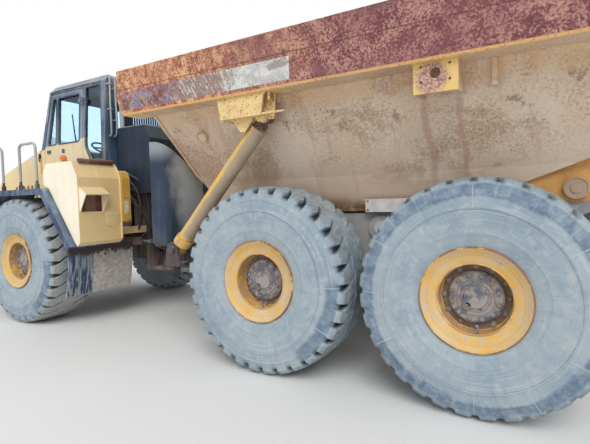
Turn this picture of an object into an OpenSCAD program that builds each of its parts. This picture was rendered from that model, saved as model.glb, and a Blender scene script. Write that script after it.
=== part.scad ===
// Articulated dump truck with three axles, standing straight, bed down.
// X points forwards, Y to the left and Z up. The origin is on the ground under the middle of its box.
// Sizes are in millimetres.

/* [Wheels] */
// Place of the front axle along the truck
front_axle_x = 2600; // [2500:10:2700]
// Place of the middle axle along the truck
mid_axle_x = -1750; // [-1800:10:-1700]
// Place of the rear axle along the truck
rear_axle_x = -3720; // [-3760:10:-3700]
// Half of the track, to the middle of a tyre
half_track = 1345; // [1335:5:1350]
// Outer radius of a tyre
tyre_r = 937.5; // [925:2.5:940]
// Width of a tyre
tyre_w = 750; // [740:5:760]
// Depth of a groove between two lugs
lug_depth = 58; // [40:1:65]
// Grooves round each shoulder
lug_count = 32; // [28:1:34]
// Radius of a rim's flange
flange_r = 406; // [400:1:412]

/* [Frames] */
// Place of the steering pivot
pivot_x = 1150; // [1140:5:1160]
// Height of the hitch and of the drive shafts
hitch_z = 1000; // [990:5:1010]
// Radius of the hitch tube
hitch_r = 230; // [220:5:235]
// Height of the rear frame's beams above the ground, at their top
frame_top = 1500; // [1490:5:1505]
// Place of the bed's hinge pin
hinge_x = -4410; // [-4420:5:-4400]
// Height of the bed's hinge pin
hinge_z = 1765; // [1760:5:1770]
// Radius of the bed's hinge pin
hinge_r = 60; // [50:1:65]

/* [Bed] */
// Height of the floor's underside
bed_floor = 1620; // [1615:5:1625]
// Height of the rail's lower edge
rail_low = 2780; // [2770:5:2790]
// Height of the rail's top
rail_top = 3310; // [3300:5:3320]
// Half of the width over the rails
rail_half = 1650; // [1640:5:1655]
// Thickness of the floor
floor_t = 40; // [30:1:45]
// Thickness of the side plates, square to their slope
side_t = 30; // [24:1:35]

/* [Cab] */
// Back of the cab
cab_back = 1560; // [1550:5:1570]
// Foot of the cab's front
cab_front = 3230; // [3220:5:3240]
// Height of the cab's floor
cab_low = 2010; // [2005:5:2015]
// Height of the cab's roof
cab_top = 3735; // [3720:5:3740]
// Half of the cab's width
cab_half = 850; // [840:5:855]
// Thickness of the cab's walls
cab_t = 50; // [45:1:55]
// Height of the seam between tub and window frame
waist = 2640; // [2630:5:2650]

/* [Cylinders] */
// Side offset of the two tipping cylinders
hoist_y = 1430; // [1428:1:1432]
// Radius of a tipping cylinder's barrel
hoist_r = 85; // [80:1:86]
// Radius of a steering cylinder's barrel
steer_r = 62; // [55:1:65]

/* [Hidden] */

$fn = 64;
far = 8000;
fit = 0.05;
clear = 6;

cream = [0.90, 0.78, 0.48];
rim_yellow = [0.86, 0.66, 0.26];
rubber = [0.45, 0.49, 0.53];
slate = [0.25, 0.33, 0.40];
navy = [0.15, 0.22, 0.34];
dust = [0.66, 0.56, 0.44];
grime = [0.50, 0.44, 0.40];
dark = [0.20, 0.21, 0.23];
steel = [0.70, 0.70, 0.70];
glass = [0.55, 0.65, 0.70, 0.4];

// A plate or bar cut from an outline in X and Z, between two values of Y
module along_y(points, y_low, y_high)
    translate([0, y_high, 0]) rotate([90, 0, 0]) linear_extrude(y_high - y_low) polygon(points);

// A bar cut from an outline in Y and Z, between two values of X
module along_x(points, x_low, x_high)
    translate([x_low, 0, 0]) rotate([90, 0, 90]) linear_extrude(x_high - x_low) polygon(points);

// A plate cut from an outline in X and Y, between two heights
module along_z(points, z_low, z_high)
    translate([0, 0, z_low]) linear_extrude(z_high - z_low) polygon(points);

// A round bar across the truck
module rod_y(x, z, r, y_low, y_high)
    translate([x, y_high, z]) rotate([90, 0, 0]) cylinder(h = y_high - y_low, r = r);

// A round bar along the truck
module rod_x(y, z, r, x_low, x_high)
    translate([x_low, y, z]) rotate([0, 90, 0]) cylinder(h = x_high - x_low, r = r);

// An upright round bar
module rod_z(x, y, r, z_low, z_high)
    translate([x, y, z_low]) cylinder(h = z_high - z_low, r = r);

// A straight round bar between two points
module rod(a, b, r) {
    d = b - a;
    across = norm([d.x, d.y]);
    translate(a) rotate([0, atan2(across, d.z), atan2(d.y, d.x)]) cylinder(h = norm(d), r = r);
}

// A box given by its low and high corners
module box(low, high) translate(low) cube(high - low);

// What is drawn on the left is drawn on the right too
module both() {
    children();
    mirror([0, 1, 0]) children();
}

// An outline in X and Z pulled inwards by a wall's thickness
module inner_along_y(points, wall, y_low, y_high)
    translate([0, y_high, 0]) rotate([90, 0, 0]) linear_extrude(y_high - y_low)
        offset(delta = -wall) polygon(points);

// Tyres. The section is given as distance from the middle plane and radius.
bead_w = 317;
bead_r = 380;
wall_bulge = tyre_w / 2;
bulge_r = 655;
shoulder_r = 880;
// The side wall is a flat parabola that is widest at bulge_r
function wall_w(r) = wall_bulge - 0.000645 * pow(r - bulge_r, 2);
side_wall = [for (i = [0:7]) let (r = 407 + i * (shoulder_r - 407) / 7) [wall_w(r), r]];
tread = [[312, 916], [235, 930], [110, tyre_r]];
half_tyre = concat([[bead_w, bead_r + 0.3], [bead_w, 407]], side_wall, tread);
function mirrored(points) = [for (i = [len(points) - 1:-1:0]) [-points[i].x, points[i].y]];

// A groove is a V that starts beside the middle rib and falls away to the shoulder
module groove() {
    start = tyre_r - 26;
    translate([0, 118, start]) rotate([-18, 0, 11]) rotate([-90, 0, 0]) linear_extrude(360) polygon([
        [-16, lug_depth - 26], [16, lug_depth - 26], [40, -90], [-40, -90]
    ]);
}

module tyre(x, side) {
    pitch = 360 / lug_count;
    color(rubber) translate([x, side * half_track, tyre_r]) difference() {
        rotate([-90, 0, 0]) rotate_extrude($fn = 96)
            polygon([for (p = concat(half_tyre, mirrored(half_tyre))) [p.y, p.x]]);
        for (i = [0:lug_count - 1]) {
            rotate([0, i * pitch, 0]) groove();
            rotate([0, (i + 0.5) * pitch, 0]) mirror([0, 1, 0]) groove();
        }
    }
}

// Rims, each with its dished ring, its mounting disc and the planetary hub
hub_r = 205;
spindle_r = 80;
hub_back = -40;
nut_ring = 238;
cover_ring = 172;
rim_section = [
    [-345, 358], [-345, flange_r], [-bead_w, flange_r], [-bead_w, bead_r], [bead_w, bead_r],
    [bead_w, flange_r], [345, flange_r], [348, 388], [318, 345], [296, 275], [176, 268],
    [176, hub_r], [206, hub_r], [220, 190], [220, 92], [236, 84], [236, 0], [58, 0],
    [58, spindle_r + fit], [hub_back, spindle_r + fit], [hub_back, 192], [140, 192],
    [140, 292], [270, 298], [296, 358]
];

module rim(x, side) {
    color(rim_yellow) translate([x, side * half_track, tyre_r])
        rotate([side * -90, 0, 0]) {
            difference() {
                rotate_extrude($fn = 96) polygon([for (p = rim_section) [p.y, p.x]]);
                for (a = [0:30:330]) rotate([0, 0, a]) translate([nut_ring, 0, 130])
                    cylinder(h = 60, r = 13, $fn = 24);
            }
            for (a = [15:30:345]) rotate([0, 0, a]) translate([cover_ring, 0, 215])
                cylinder(h = 16, r = 14, $fn = 24);
        }
}

// An axle is a round housing with a middle bulge, brake drums and stub shafts
module axle(x, nose, tail) {
    stub = half_track + hub_back - clear;
    translate([x, 0, tyre_r]) {
        rotate([90, 0, 0]) rotate_extrude() polygon([
            [0, -stub], [178, -stub], [178, -1120], [130, -1060], [112, -640], [150, -420], [225, -200],
            [238, 0], [225, 200], [150, 420], [112, 640], [130, 1060], [178, 1120], [178, stub], [0, stub]
        ]);
        both() rotate([-90, 0, 0]) translate([0, 0, stub - 1]) cylinder(h = 96, r = spindle_r);
    }
    // Pinion housings at the height of the drive shafts
    if (nose > 0) translate([x, 0, hitch_z]) rotate([0, 90, 0]) cylinder(h = nose, r1 = 170, r2 = 105);
    if (tail > 0) translate([x, 0, hitch_z]) rotate([0, -90, 0]) cylinder(h = tail, r1 = 150, r2 = 80);
}

joint_r = 62;

module front_axle() {
    color(grime) {
        axle(front_axle_x, 0, 340);
        both() {
            // Link to the frame, with an eye at its front end, and the suspension strut
            rod([front_axle_x - 20, 540, 900], [front_axle_x + 1060, 510, 980], 46);
            rod_y(front_axle_x + 1060, 980, 75, 450, 560);
            rod_z(front_axle_x + 20, 600, 62, 1000, 1420);
            rod_z(front_axle_x + 20, 600, 80, 1400, 1700);
        }
        // Shaft to the front axle, with its flange ahead of the ball on the steering pivot
        rod_x(0, hitch_z, 45, pivot_x + 90, front_axle_x - 338);
        rod_x(0, hitch_z, 72, pivot_x + joint_r + clear, pivot_x + joint_r + clear + 26);
    }
}

// Front frame: two beams, a spine to the steering pivot, a cross beam and the bumper
pin_r = 60;
plate_high = [1290, 1350];
plate_low = [650, 710];
steer_front = [pivot_x + 950, 520];
steer_rear = [pivot_x - 120, 330];
steer_z = 1150;
hood_hinge = [5290, 1340];
tow_pin = [5490, 0];
tow_pin_r = 32;
shaft_room_r = 78;
bumper = [[5180, -1150], [5380, -1120], [5550, -760], [5550, 760], [5380, 1120], [5180, 1150]];

module lamp_body() along_z([[5330, 780], [5330, 1050], [5404, 1050], [5534, 780]], 1010, 1180);

module eye_plates(x, y, r, z, gap, t) {
    for (s = [-1, 1]) translate([x, y, z + s * (gap + t / 2)]) cylinder(h = t, r = r, center = true);
}

module front_frame() {
    color(grime) {
        difference() {
            union() {
                // Cross beam that carries the steering cylinders
                box([2040, -440, 860], [2260, 440, 1210]);
                // Side beams, arched over the axle and joined by cross members under the engine
                both() along_y([
                    [2100, 880], [2330, 880], [2400, 1150], [2800, 1150], [2880, 850], [3300, 820],
                    [5180, 860], [5180, 1180], [4300, 1240], [3300, 1300], [2860, 1330], [2340, 1330],
                    [2100, 1200]
                ], 330, 450);
                for (x = [3560, 4500]) box([x, -340, 880], [x + 140, 340, 1130]);
            }
            // Room for the drive shaft
            rod_x(0, hitch_z, shaft_room_r, 2000, 2300);
        }
        both() {
            // Ears of the steering cylinders
            eye_plates(steer_front.x, steer_front.y, 78, steer_z, 50, 30);
            for (s = [-1, 1]) translate([0, 0, steer_z + s * 65 - 15]) linear_extrude(30)
                polygon([[2060, 440], [2060, 520], [2180, 520], [2200, 440]]);
            rod_z(steer_front.x, steer_front.y, 34, steer_z - 90, steer_z + 90);
            // Towers over the suspension struts
            box([2540, 330, 1240], [2700, 450, 1760]);
            box([2540, 330, 1700], [2700, 690, 1760]);
            // Posts of the cab
            box([2060, 345, 1190], [2160, 435, 1860]);
            box([3080, 345, 1250], [3180, 435, 1860]);
        }
    }
}

// Clevis plates and their pins, above and below the shaft joint
module front_clevis() {
    color(grime) {
        for (z = [plate_high, plate_low]) {
            along_z([
                [pivot_x, -140], [pivot_x + 200, -165], [pivot_x + 200, 165], [pivot_x, 140]
            ], z[0], z[1]);
            rod_z(pivot_x, 0, 140, z[0], z[1]);
        }
        rod_z(pivot_x, 0, pin_r, plate_high[0] - 104, plate_high[1] + 20);
        rod_z(pivot_x, 0, pin_r, plate_low[0] - 20, plate_low[1] + 104);
    }
}

// Spine between the clevis plates and the cross beam
module front_spine() {
    color(grime) difference() {
        union() {
            box([pivot_x + 200, -190, plate_low[0]], [pivot_x + 400, 190, plate_high[1]]);
            box([pivot_x + 400, -190, 830], [2040, 190, 1180]);
        }
        rod_x(0, hitch_z, shaft_room_r, pivot_x + 100, 2300);
    }
}

module front_bumper() {
    color(grime) {
        difference() {
            along_z(bumper, 900, 1270);
            // Recess of the towing pin, and pockets of the lamps
            box([5380, -110, 1000], [5560, 110, 1300]);
            both() lamp_body();
        }
        // Guard plate below it
        along_y([[5500, 900], [5200, 640], [4300, 600], [4300, 620], [5190, 662], [5430, 900]], -560, 560);
        both() box([4320, 340, 610], [4380, 440, 841]);
        rod_z(tow_pin.x, tow_pin.y, tow_pin_r, 990, 1160);
        // Ears of the hood's hinge
        both() {
            box([5240, 540, 1260], [5330, 565, hood_hinge.y]);
            rod_y(hood_hinge.x, hood_hinge.y, 40, 540, 565);
            rod_y(hood_hinge.x, hood_hinge.y, 18, 500, 575);
        }
    }
}

// Deck behind the cab with the rails and mounts that carry it
module cab_deck() {
    color(grime) {
        both() {
            box([1340, 340, 1350], [1500, 420, 1860]);
            box([1505, 380, 1860], [3240, 520, 1930]);
            for (x = [1680, 3080]) {
                rod_z(x, 450, 60, 1925, 1960);
                box([x, 520, 1890], [x + 70, 905, 1942]);
            }
        }
        box([1260, -420, 1350], [1340, 420, 1860]);
        box([760, -520, 1860], [1505, 520, 1900]);
    }
}

module engine() {
    color(dark) box([3420, -315, 1130], [4760, 315, 2000]);
}

// Hood: a thin shell, open below, that tips forwards with the grille
hood_side = [
    [3330, 1380], [3330, 2760], [3500, 2745], [4900, 2330], [5230, 2160], [5360, 1960], [5400, 1460],
    [5330, 1380]
];
hood_half = 700;

module hood_form(grow) {
    intersection() {
        inner_along_y(hood_side, grow, -hood_half + grow, hood_half - grow);
        along_z([
            [3330 + grow, -hood_half + grow], [4700, -hood_half + grow], [5400 - grow, -560 + grow],
            [5400 - grow, 560 - grow], [4700, hood_half - grow], [3330 + grow, hood_half - grow]
        ], 1000, 3000);
    }
}

module hood() {
    color(cream) {
        difference() {
            hood_form(0);
            hood_form(26);
            box([3340, -630, 1300], [5290, 630, 1420]);
            // Opening for the grille
            box([5250, -470, 1520], [5500, 470, 2040]);
            // Opening at the back, against the cab
            box([3300, -630, 1300], [3370, 630, 2680]);
            // Air slots in the sides
            for (i = [0:5]) both() box([3700 + i * 130, 600, 1820], [3770 + i * 130, 800, 2120]);
        }
        // Lugs of the hinge
        both() difference() {
            union() {
                rod_y(hood_hinge.x, hood_hinge.y, 40, 505, 533);
                box([hood_hinge.x - 40, 505, hood_hinge.y], [hood_hinge.x + 40, 533, 1400]);
            }
            rod_y(hood_hinge.x, hood_hinge.y, 18 + fit, 490, 545);
        }
    }
}

module grille() {
    color(dark) {
        difference() {
            box([5292, -470, 1520], [5352, 470, 2040]);
            box([5280, -440, 1550], [5370, 440, 2010]);
        }
        for (i = [0:7]) box([5305, -445, 1585 + i * 54], [5340, 445, 1603 + i * 54]);
        for (y = [-150, 150]) box([5300, y - 12, 1530], [5330, y + 12, 2030]);
    }
}

// Front fenders: deck over the wheel, a sloped leg behind it and steps in front
fender_line = [[1245, 1190], [1800, 1955], [1860, 1990], [3420, 1990], [3640, 1760], [3700, 1500]];
step_posts = [3930, 4140];
step_post_z = 1960;

module front_fenders() {
    color(navy) both() {
        // Deck and legs, bent from one sheet
        along_y(concat(fender_line, [
            [3655, 1500], [3597, 1742], [3398, 1942], [1878, 1942], [1838, 1930], [1300, 1190],
            [1440, 1190], [1440, 1168], [1262, 1168]
        ]), 905, 1690);
        // Turned-down outer edge
        along_y(concat(fender_line, [
            [3640, 1500], [3575, 1715], [3380, 1905], [1890, 1905], [1860, 1895], [1330, 1168], [1262, 1168]
        ]), 1675, 1700);
        // Steps in front of the wheel
        difference() {
            along_y([
                [3760, 620], [4180, 620], [4180, 1500], [3900, 1960], [3640, 1960], [3700, 1500]
            ], 1020, 1560);
            for (i = [0:2]) box([3900, 1060, 700 + i * 340], [4300, 1520, 960 + i * 340]);
            along_y([[3640, 560], [3840, 560], [3840, 1500], [3640, 1500]], 1060, 1520);
        }
        for (x = step_posts) rod_z(x, 1500, 32, 1400, step_post_z);
        // Bar over the inner part of the flap
        box([1380, 560, 1168], [1440, 906, 1192]);
        // Arms from the frame
        box([3770, 450, 1000], [3850, 1030, 1120]);
        box([3860, 450, 1180], [3960, 1040, 1240]);
        box([1900, 816, 1942], [3380, 906, 1990]);
    }
}

// Rubber flaps behind the front wheels
module mud_flaps() {
    color(grime) both() along_y([
        [1405, 1168], [1440, 1168], [1452, 900], [1488, 640], [1530, 480], [1500, 474], [1456, 630],
        [1415, 890]
    ], 560, 1610);
}

rail_r = 19;
rail_bend = 80;

// A handrail: two posts in sleeves, bent over into a top rail
module hoop(rear, front, low, high, y) {
    // Columns: post, middle of its bend, where the bend's turn starts
    for (end = [[rear, rear + rail_bend, 90], [front, front - rail_bend, 0]]) {
        rod_z(end[0], y, rail_r, low, high - rail_bend);
        rod_z(end[0], y, rail_r + 12, low, low + 70);
        translate([end[1], y, high - rail_bend]) rotate([90, 0, 0]) rotate([0, 0, end[2]])
            rotate_extrude(angle = 90) translate([rail_bend, 0]) circle(r = rail_r);
    }
    rod_x(y, high, rail_r, rear + rail_bend, front - rail_bend);
}

module handrails() {
    color(dark) both() {
        hoop(2090, 2510, 1990, 2650, 1600);
        hoop(2990, 3400, 1990, 2650, 1600);
        hoop(step_posts[0], step_posts[1], step_post_z, 2450, 1500);
        // Mirror on the front post
        rod_z(3400, 1600, 16, 2560, 3300);
        rod_x(1600, 3290, 16, 3400, 3450);
        box([3440, 1480, 2880], [3500, 1700, 3340]);
    }
}

// Cab outline seen from the side and from behind
cab_side = [
    [cab_back, cab_low], [cab_front, cab_low], [cab_front + 20, waist], [3010, 3650], [2940, cab_top],
    [1610, cab_top], [cab_back, 3680]
];
cab_section = [
    [-cab_half, cab_low - 10], [cab_half, cab_low - 10], [cab_half, 2750], [790, 3640], [720, cab_top + 1],
    [-720, cab_top + 1], [-790, 3640], [-cab_half, 2750]
];

module cab_form(wall) {
    intersection() {
        inner_along_y(cab_side, wall, -cab_half, cab_half);
        rotate([90, 0, 90]) linear_extrude(far) offset(delta = -wall) polygon(cab_section);
    }
}

// Opening for the door, and for the panes, in the left or right wall
door_open = [[2110, cab_low + 60], [3130, cab_low + 60], [3160, waist], [2965, 3600], [2110, 3600]];
rear_pane = [[1640, 2440], [1925, 2440], [2045, 2670], [2045, 3590], [1680, 3590]];
front_pane_low = waist + 60;

module pane_cuts() {
    both() along_y(rear_pane, 700, 1000);
    along_y([[2130, 2730], [3080, 2730], [2925, 3580], [2130, 3580]], -1000, -700);
    // Windscreen and back window
    box([2900, -730, front_pane_low], [3400, 730, 3560]);
    box([1500, -640, 2700], [1640, 640, 3560]);
}

module window_cuts() {
    along_y(door_open, 700, 1000);
    pane_cuts();
}

module cab_shell() {
    difference() {
        cab_form(0);
        cab_form(cab_t);
        window_cuts();
    }
}

module cab_tub() {
    color(cream) {
        intersection() {
            cab_shell();
            box([1500, -900, 1990], [3400, 900, waist]);
        }
        box([cab_back + 10, -cab_half + 40, 1960], [cab_front - 30, cab_half - 40, cab_low + 10]);
        cab_knuckles(2280);
    }
}

module cab_frame() {
    color(slate) {
        intersection() {
            cab_shell();
            box([1500, -900, waist], [3400, 900, 3800]);
        }
        cab_knuckles(3380);
    }
}

// A hinge of the door: two knuckles and the pin on the cab, one knuckle on the door
module cab_knuckles(z) {
    for (low = [z - 50, z + 22]) {
        rod_z(door_hinge.x, door_hinge.y, 16, low, low + 28);
        along_z([[2060, 790], [2060, 848], [2080, 880], [2092, 858], [2092, 790]], low, low + 28);
    }
    rod_z(door_hinge.x, door_hinge.y, 8, z - 50, z + 50);
}

module door_knuckle(z) {
    difference() {
        union() {
            rod_z(door_hinge.x, door_hinge.y, 16, z - 19, z + 19);
            along_z([
                [2092, 858], [2098, 886], [2170, 856], [2170, 795], [2126, 795], [2126, 850]
            ], z - 19, z + 19);
        }
        rod_z(door_hinge.x, door_hinge.y, 8 + fit, z - 30, z + 30);
    }
}

// Panes as thick plates set into the openings
module cab_glass() {
    color(glass) intersection() {
        pane_cuts();
        difference() {
            cab_form(20);
            cab_form(28);
        }
    }
}

// The door is hinged at its rear edge
door_hinge = [2092, 872];
door_panel = [[2118, 2078], [3118, 2078], [3146, waist], [2953, 3590], [2118, 3590]];

module door() {
    color(cream) {
        difference() {
            intersection() {
                along_y(door_panel, 700, cab_half);
                difference() {
                    cab_form(0);
                    cab_form(cab_t);
                }
            }
            door_panes();
        }
        door_knuckle(2280);
        door_knuckle(3380);
        // Handle
        box([2960, 848, 2450], [3080, 872, 2480]);
    }
}

module door_panes() {
    along_y([[2190, 2760], [2760, 2760], [2760, 3520], [2190, 3520]], 650, 900);
    along_y([[2810, 2760], [3045, 2760], [2900, 3520], [2810, 3520]], 650, 900);
}

module door_glass() {
    color(glass) intersection() {
        door_panes();
        difference() {
            cab_form(24);
            cab_form(32);
        }
    }
}

// Seat box, console, levers and wheel, seen through the panes
module cab_interior() {
    color(dark) {
        box([1900, -260, cab_low + cab_t], [2400, 260, 2300]);
        for (s = [-1, 1]) box([1900, s * 330 - 50, cab_low + cab_t], [2420, s * 330 + 50, 2560]);
        for (y = [-345, -315]) rod([2330, y, 2550], [2360, y, 2680], 10);
        along_y([[2820, 2060], [3160, 2060], [3160, 2600], [3000, 2680], [2860, 2560]], -700, 700);
        rod([2900, 0, 2560], [2760, 0, 2760], 30);
        translate([2755, 0, 2768]) rotate([0, -35, 0]) {
            rotate_extrude() translate([200, 0]) circle(r = 16, $fn = 24);
            cylinder(h = 24, r = 50, center = true);
            cube([24, 390, 20], center = true);
        }
        // Frame of the seat's back
        box([1790, -60, 2200], [1830, 60, 2900]);
        box([1820, -60, 2200], [1905, 60, 2260]);
    }
}

// Cushion and back of the seat, as plain solids
module seat_base() {
    color(dark) box([1890, -250, 2300], [2420, 250, 2430]);
}

module seat_back() {
    color(dark) along_y([[1830, 2440], [1960, 2440], [1920, 3150], [1830, 3150]], -235, 235);
}

// Box behind the left front wheel, with a hood over its intake and a post beside it
module intake_box() {
    intake_x = 1130;
    color(cream) {
        difference() {
            along_y([
                [intake_x, 1240], [1190, 1190], [1236, 1235], [1790, 2000], [1900, 2036], [1900, 2220],
                [1820, 2330], [1240, 2330], [intake_x, 2110]
            ], 950, 1620);
            box([intake_x - 10, 1270, 1650], [intake_x + 25, 1570, 1880]);
        }
        along_y([[intake_x + 1, 1985], [intake_x + 1, 1968], [990, 1868], [982, 1882]], 1240, 1600);
        for (y = [1240, 1590]) along_y([[intake_x + 1, 1980], [986, 1880], [intake_x + 1, 1640]], y, y + 10);
        along_y([[1100, 1420], [1190, 1380], [1190, 2230], [1130, 2200], [1100, 2120]], 810, 951);
        box([1200, 420, 1300], [1285, 951, 1400]);
        box([1510, 520, 1862], [1590, 951, 1930]);
    }
}

// Tank behind the right front wheel
module fuel_tank() {
    color(cream) {
        along_y([
            [1130, 1130], [1190, 1080], [1214, 1190], [1236, 1235], [1790, 2000], [1900, 2036], [1900, 2190],
            [1850, 2250], [1180, 2250], [1130, 2200]
        ], -1620, -950);
        rod_z(1500, -1280, 60, 2240, 2290);
        box([1200, -951, 1300], [1285, -420, 1400]);
        box([1510, -951, 1862], [1590, -520, 1930]);
    }
}

// Dark housing behind the cab
module rear_cover() {
    color(navy) {
        along_y([[760, 1900], [1500, 1900], [1500, 2900], [900, 2900], [760, 2700]], -700, 700);
    }
}

module exhaust() {
    color(grime) {
        rod_z(1400, -420, 62, 2900, 3560);
        rod_z(1400, -420, 85, 2950, 3350);
        both() rod_z(1420, 640, 34, 2900, 3670);
        rod_y(1420, 3640, 30, -640, 640);
        rod_y(1420, 3380, 22, -640, 640);
    }
}

module lamps() {
    color(steel) both() lamp_body();
}

// Lamps on the tail plate of the rear frame
module tail_lamps() {
    color(steel) both() box([-4625, 250, 1600], [-4600, 440, 1700]);
}

// Hitch: two lugs on the steering pin, a yoke and the tube that lets the rear frame roll
tube_back = 480;

module hitch() {
    lug_high = [plate_high[0] - clear - 104, plate_high[0] - clear];
    lug_low = [plate_low[1] + clear, plate_low[1] + clear + 104];
    color(grime) difference() {
        union() {
            for (z = [lug_high, lug_low]) {
                rod_z(pivot_x, 0, 140, z[0], z[1]);
                box([pivot_x - 300, -140, z[0]], [pivot_x, 140, z[1]]);
            }
            box([pivot_x - 330, -260, lug_low[0]], [pivot_x - 170, 260, lug_high[1]]);
            rod_x(0, hitch_z, hitch_r, tube_back, pivot_x - 200);
            rod_x(0, hitch_z, 285, 800 + clear, pivot_x - 320);
        }
        rod_z(pivot_x, 0, pin_r + fit, 600, 1400);
        rod_x(0, hitch_z, 150, 400, 900);
        rod_x(0, hitch_z, 110, 850, 1100);
    }
}

// Ears on the hitch for the steering cylinders
module hitch_ears() {
    color(grime) both() {
        eye_plates(steer_rear.x, steer_rear.y, 80, steer_z, 50, 30);
        eye_plates(steer_rear.x, steer_rear.y, 40, steer_z, 78, 28);
        for (s = [-1, 1]) translate([0, 0, steer_z + s * 65 - 15]) linear_extrude(30)
            polygon([[840, 260], [975, 388], [1090, 277], [980, 200], [980, 260]]);
    }
}

// Rear frame
beam = [360, 480];
beam_pin = [-2745, 1420];
beam_pin_r = 74;
link_reach = 860;
tow_bore_x = -4680;
tow_bore_r = 26;
tow_plates = [1450, 1575];
hoist_low = [-450, 1190];
hoist_high = [-1761, 2586];
hoist_pin_r = 45;

module rear_frame() {
    color(grime) {
        // Front end: housing round the hitch tube and a box that spreads to the beams
        difference() {
            union() {
                rod_x(0, hitch_z, 310, 470, 800);
                along_y([
                    [-300, 860], [500, 800], [760, 800], [760, 1220], [500, 1320], [-300, frame_top]
                ], -300, 300);
                along_y([
                    [-300, 860], [300, 820], [500, 830], [500, 1320], [-300, frame_top]
                ], -beam[1], beam[1]);
            }
            rod_x(0, hitch_z, hitch_r + fit, 300, 900);
            box([-260, -300, 700], [300, 300, 1600]);
            rod_x(0, hitch_z, 120, -400, 400);
        }
        both() {
            // Side beam
            along_y([
                [-290, 940], [-290, frame_top], [-3300, frame_top], [-4000, 1560], [-4200, 1740],
                [-4600, 1740], [-4560, 1560], [-3960, 1290], [-3300, 1230], [-2950, 1180], [-2500, 1180],
                [-1400, 1220], [-900, 1000]
            ], beam[0], beam[1]);
            // Ear that carries the bed's hinge pin
            hull() {
                rod_y(hinge_x, hinge_z, 115, 640, 820);
                box([-4300, 640, 1420], [-4100, 820, 1480]);
            }
            // Outrigger and ears of the tipping cylinder
            rod_y(hoist_low.x, hoist_low.y, 88, 380, 1335);
            for (y = [1330, 1498]) {
                rod_y(hoist_low.x, hoist_low.y, 88, y, y + 32);
                along_y([[-540, 1190], [-560, 1020], [-340, 1020], [-360, 1190]], y, y + 32);
            }
            rod_y(hoist_low.x, hoist_low.y, hoist_pin_r, 1330, 1545);
            box([-560, 1330, 1000], [-340, 1530, 1040]);
            // Brackets of the lower rods
            for (x = [mid_axle_x + link_reach, rear_axle_x + link_reach])
                box([x - 70, beam[1] - 10, 1030], [x + 70, 500, 1260]);
            // Pads under the bed
            for (x = [-900, -2200, -3150])
                box([x - 120, beam[0], frame_top], [x + 120, beam[1], frame_top + 2]);
        }
        // Cross members
        for (x = [-900, -2200, -3180]) box([x - 60, -370, 1240], [x + 60, 370, 1480]);
        rod_y(beam_pin.x, beam_pin.y, beam_pin_r, -884, 884);
        box([-4310, -830, 1420], [-4090, 830, 1560]);
        rod_y(hinge_x, hinge_z, hinge_r, -902, 902);
        rod_y(hinge_x, hinge_z, 85, -700, 700);
        // Tail plate with the towing clevis
        box([-4600, -480, 1400], [-4540, 480, 1740]);
        difference() {
            for (z = tow_plates) {
                box([tow_bore_x, -70, z], [-4590, 70, z + 35]);
                rod_z(tow_bore_x, 0, 70, z, z + 35);
            }
            rod_z(tow_bore_x, 0, tow_bore_r, 1400, 1800);
        }
    }
}

module bogie_axles() {
    color(grime) for (x = [mid_axle_x, rear_axle_x]) {
        axle(x, 330, 250);
        both() {
            // Spring seat, and the lower rod with its eye against the frame's bracket
            box([x - 130, 650, tyre_r], [x + 130, 850, 1085]);
            rod([x, 560, 870], [x + link_reach, 540, 1110], 38);
            rod_y(x + link_reach, 1110, 62, 500, 580);
            rod_y(x + 60, 1300, 36, -1, beam[0]);
        }
        box([x, -50, 1100], [x + 120, 50, 1345]);
    }
}

// Half of an equalizer beam's outline, from its pin to one end: distance along the truck and height
equalizer_half = [
    [0, 1090], [300, 1090], [745, 1136], [1175, 1136], [1175, 1250], [820, 1400], [520, 1575], [0, 1575]
];

module equalizer_beams() {
    color(grime) both() difference() {
        union() {
            for (s = [-1, 1]) along_y([for (p = equalizer_half) [beam_pin.x + s * p.x, p.y]], 700, 830);
            rod_y(beam_pin.x, beam_pin.y, 130, 670, 872);
            for (x = [mid_axle_x, rear_axle_x]) box([x - 110, 670, 1085], [x + 110, 840, 1136]);
        }
        rod_y(beam_pin.x, beam_pin.y, beam_pin_r + fit, 600, 900);
    }
}

// Plates that guard the space ahead of the middle wheels, each bent round from the side to the back
wing_low = [-250, 740, 1240];
wing_high = [-25, 1420, 2480];
wing_bend = 170;
wing_t = 25;

module wing_plates() {
    bend = [wing_low.x + wing_bend, wing_high.y - wing_bend];
    color(slate) both() {
        difference() {
            union() {
                box([bend.x, wing_high.y - wing_t, wing_low.z], wing_high);
                box(wing_low, [wing_low.x + wing_t, bend.y, wing_high.z]);
                translate([bend.x, bend.y, wing_low.z]) rotate([0, 0, 90]) rotate_extrude(angle = 90)
                    translate([wing_bend - wing_t, 0]) square([wing_t, wing_high.z - wing_low.z]);
            }
            // Top edge, sloped under the bed's side
            along_x([[700, 2036], [1421, 2480], [1440, 2600], [700, 2600]], -300, 0);
        }
        box([wing_low.x, beam[1], 1300], [wing_low.x + wing_t, 760, 1380]);
        // Outrigger under it
        box([wing_low.x, beam[1], 1090], [-190, 1250, wing_low.z]);
    }
}

module drive_line() {
    color(steel) {
        // Main shaft through the hitch to the middle axle
        rod_x(0, hitch_z, 45, mid_axle_x + 330, pivot_x);
        rod_x(0, hitch_z, 70, mid_axle_x + 330, mid_axle_x + 390);
        translate([pivot_x, 0, hitch_z]) sphere(r = joint_r);
        // Shaft between the two rear axles
        rod_x(0, hitch_z, 45, rear_axle_x + 330, mid_axle_x - 250);
        rod_x(0, hitch_z, 70, rear_axle_x + 330, rear_axle_x + 390);
        rod_x(0, hitch_z, 70, mid_axle_x - 300, mid_axle_x - 250);
    }
}

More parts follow.
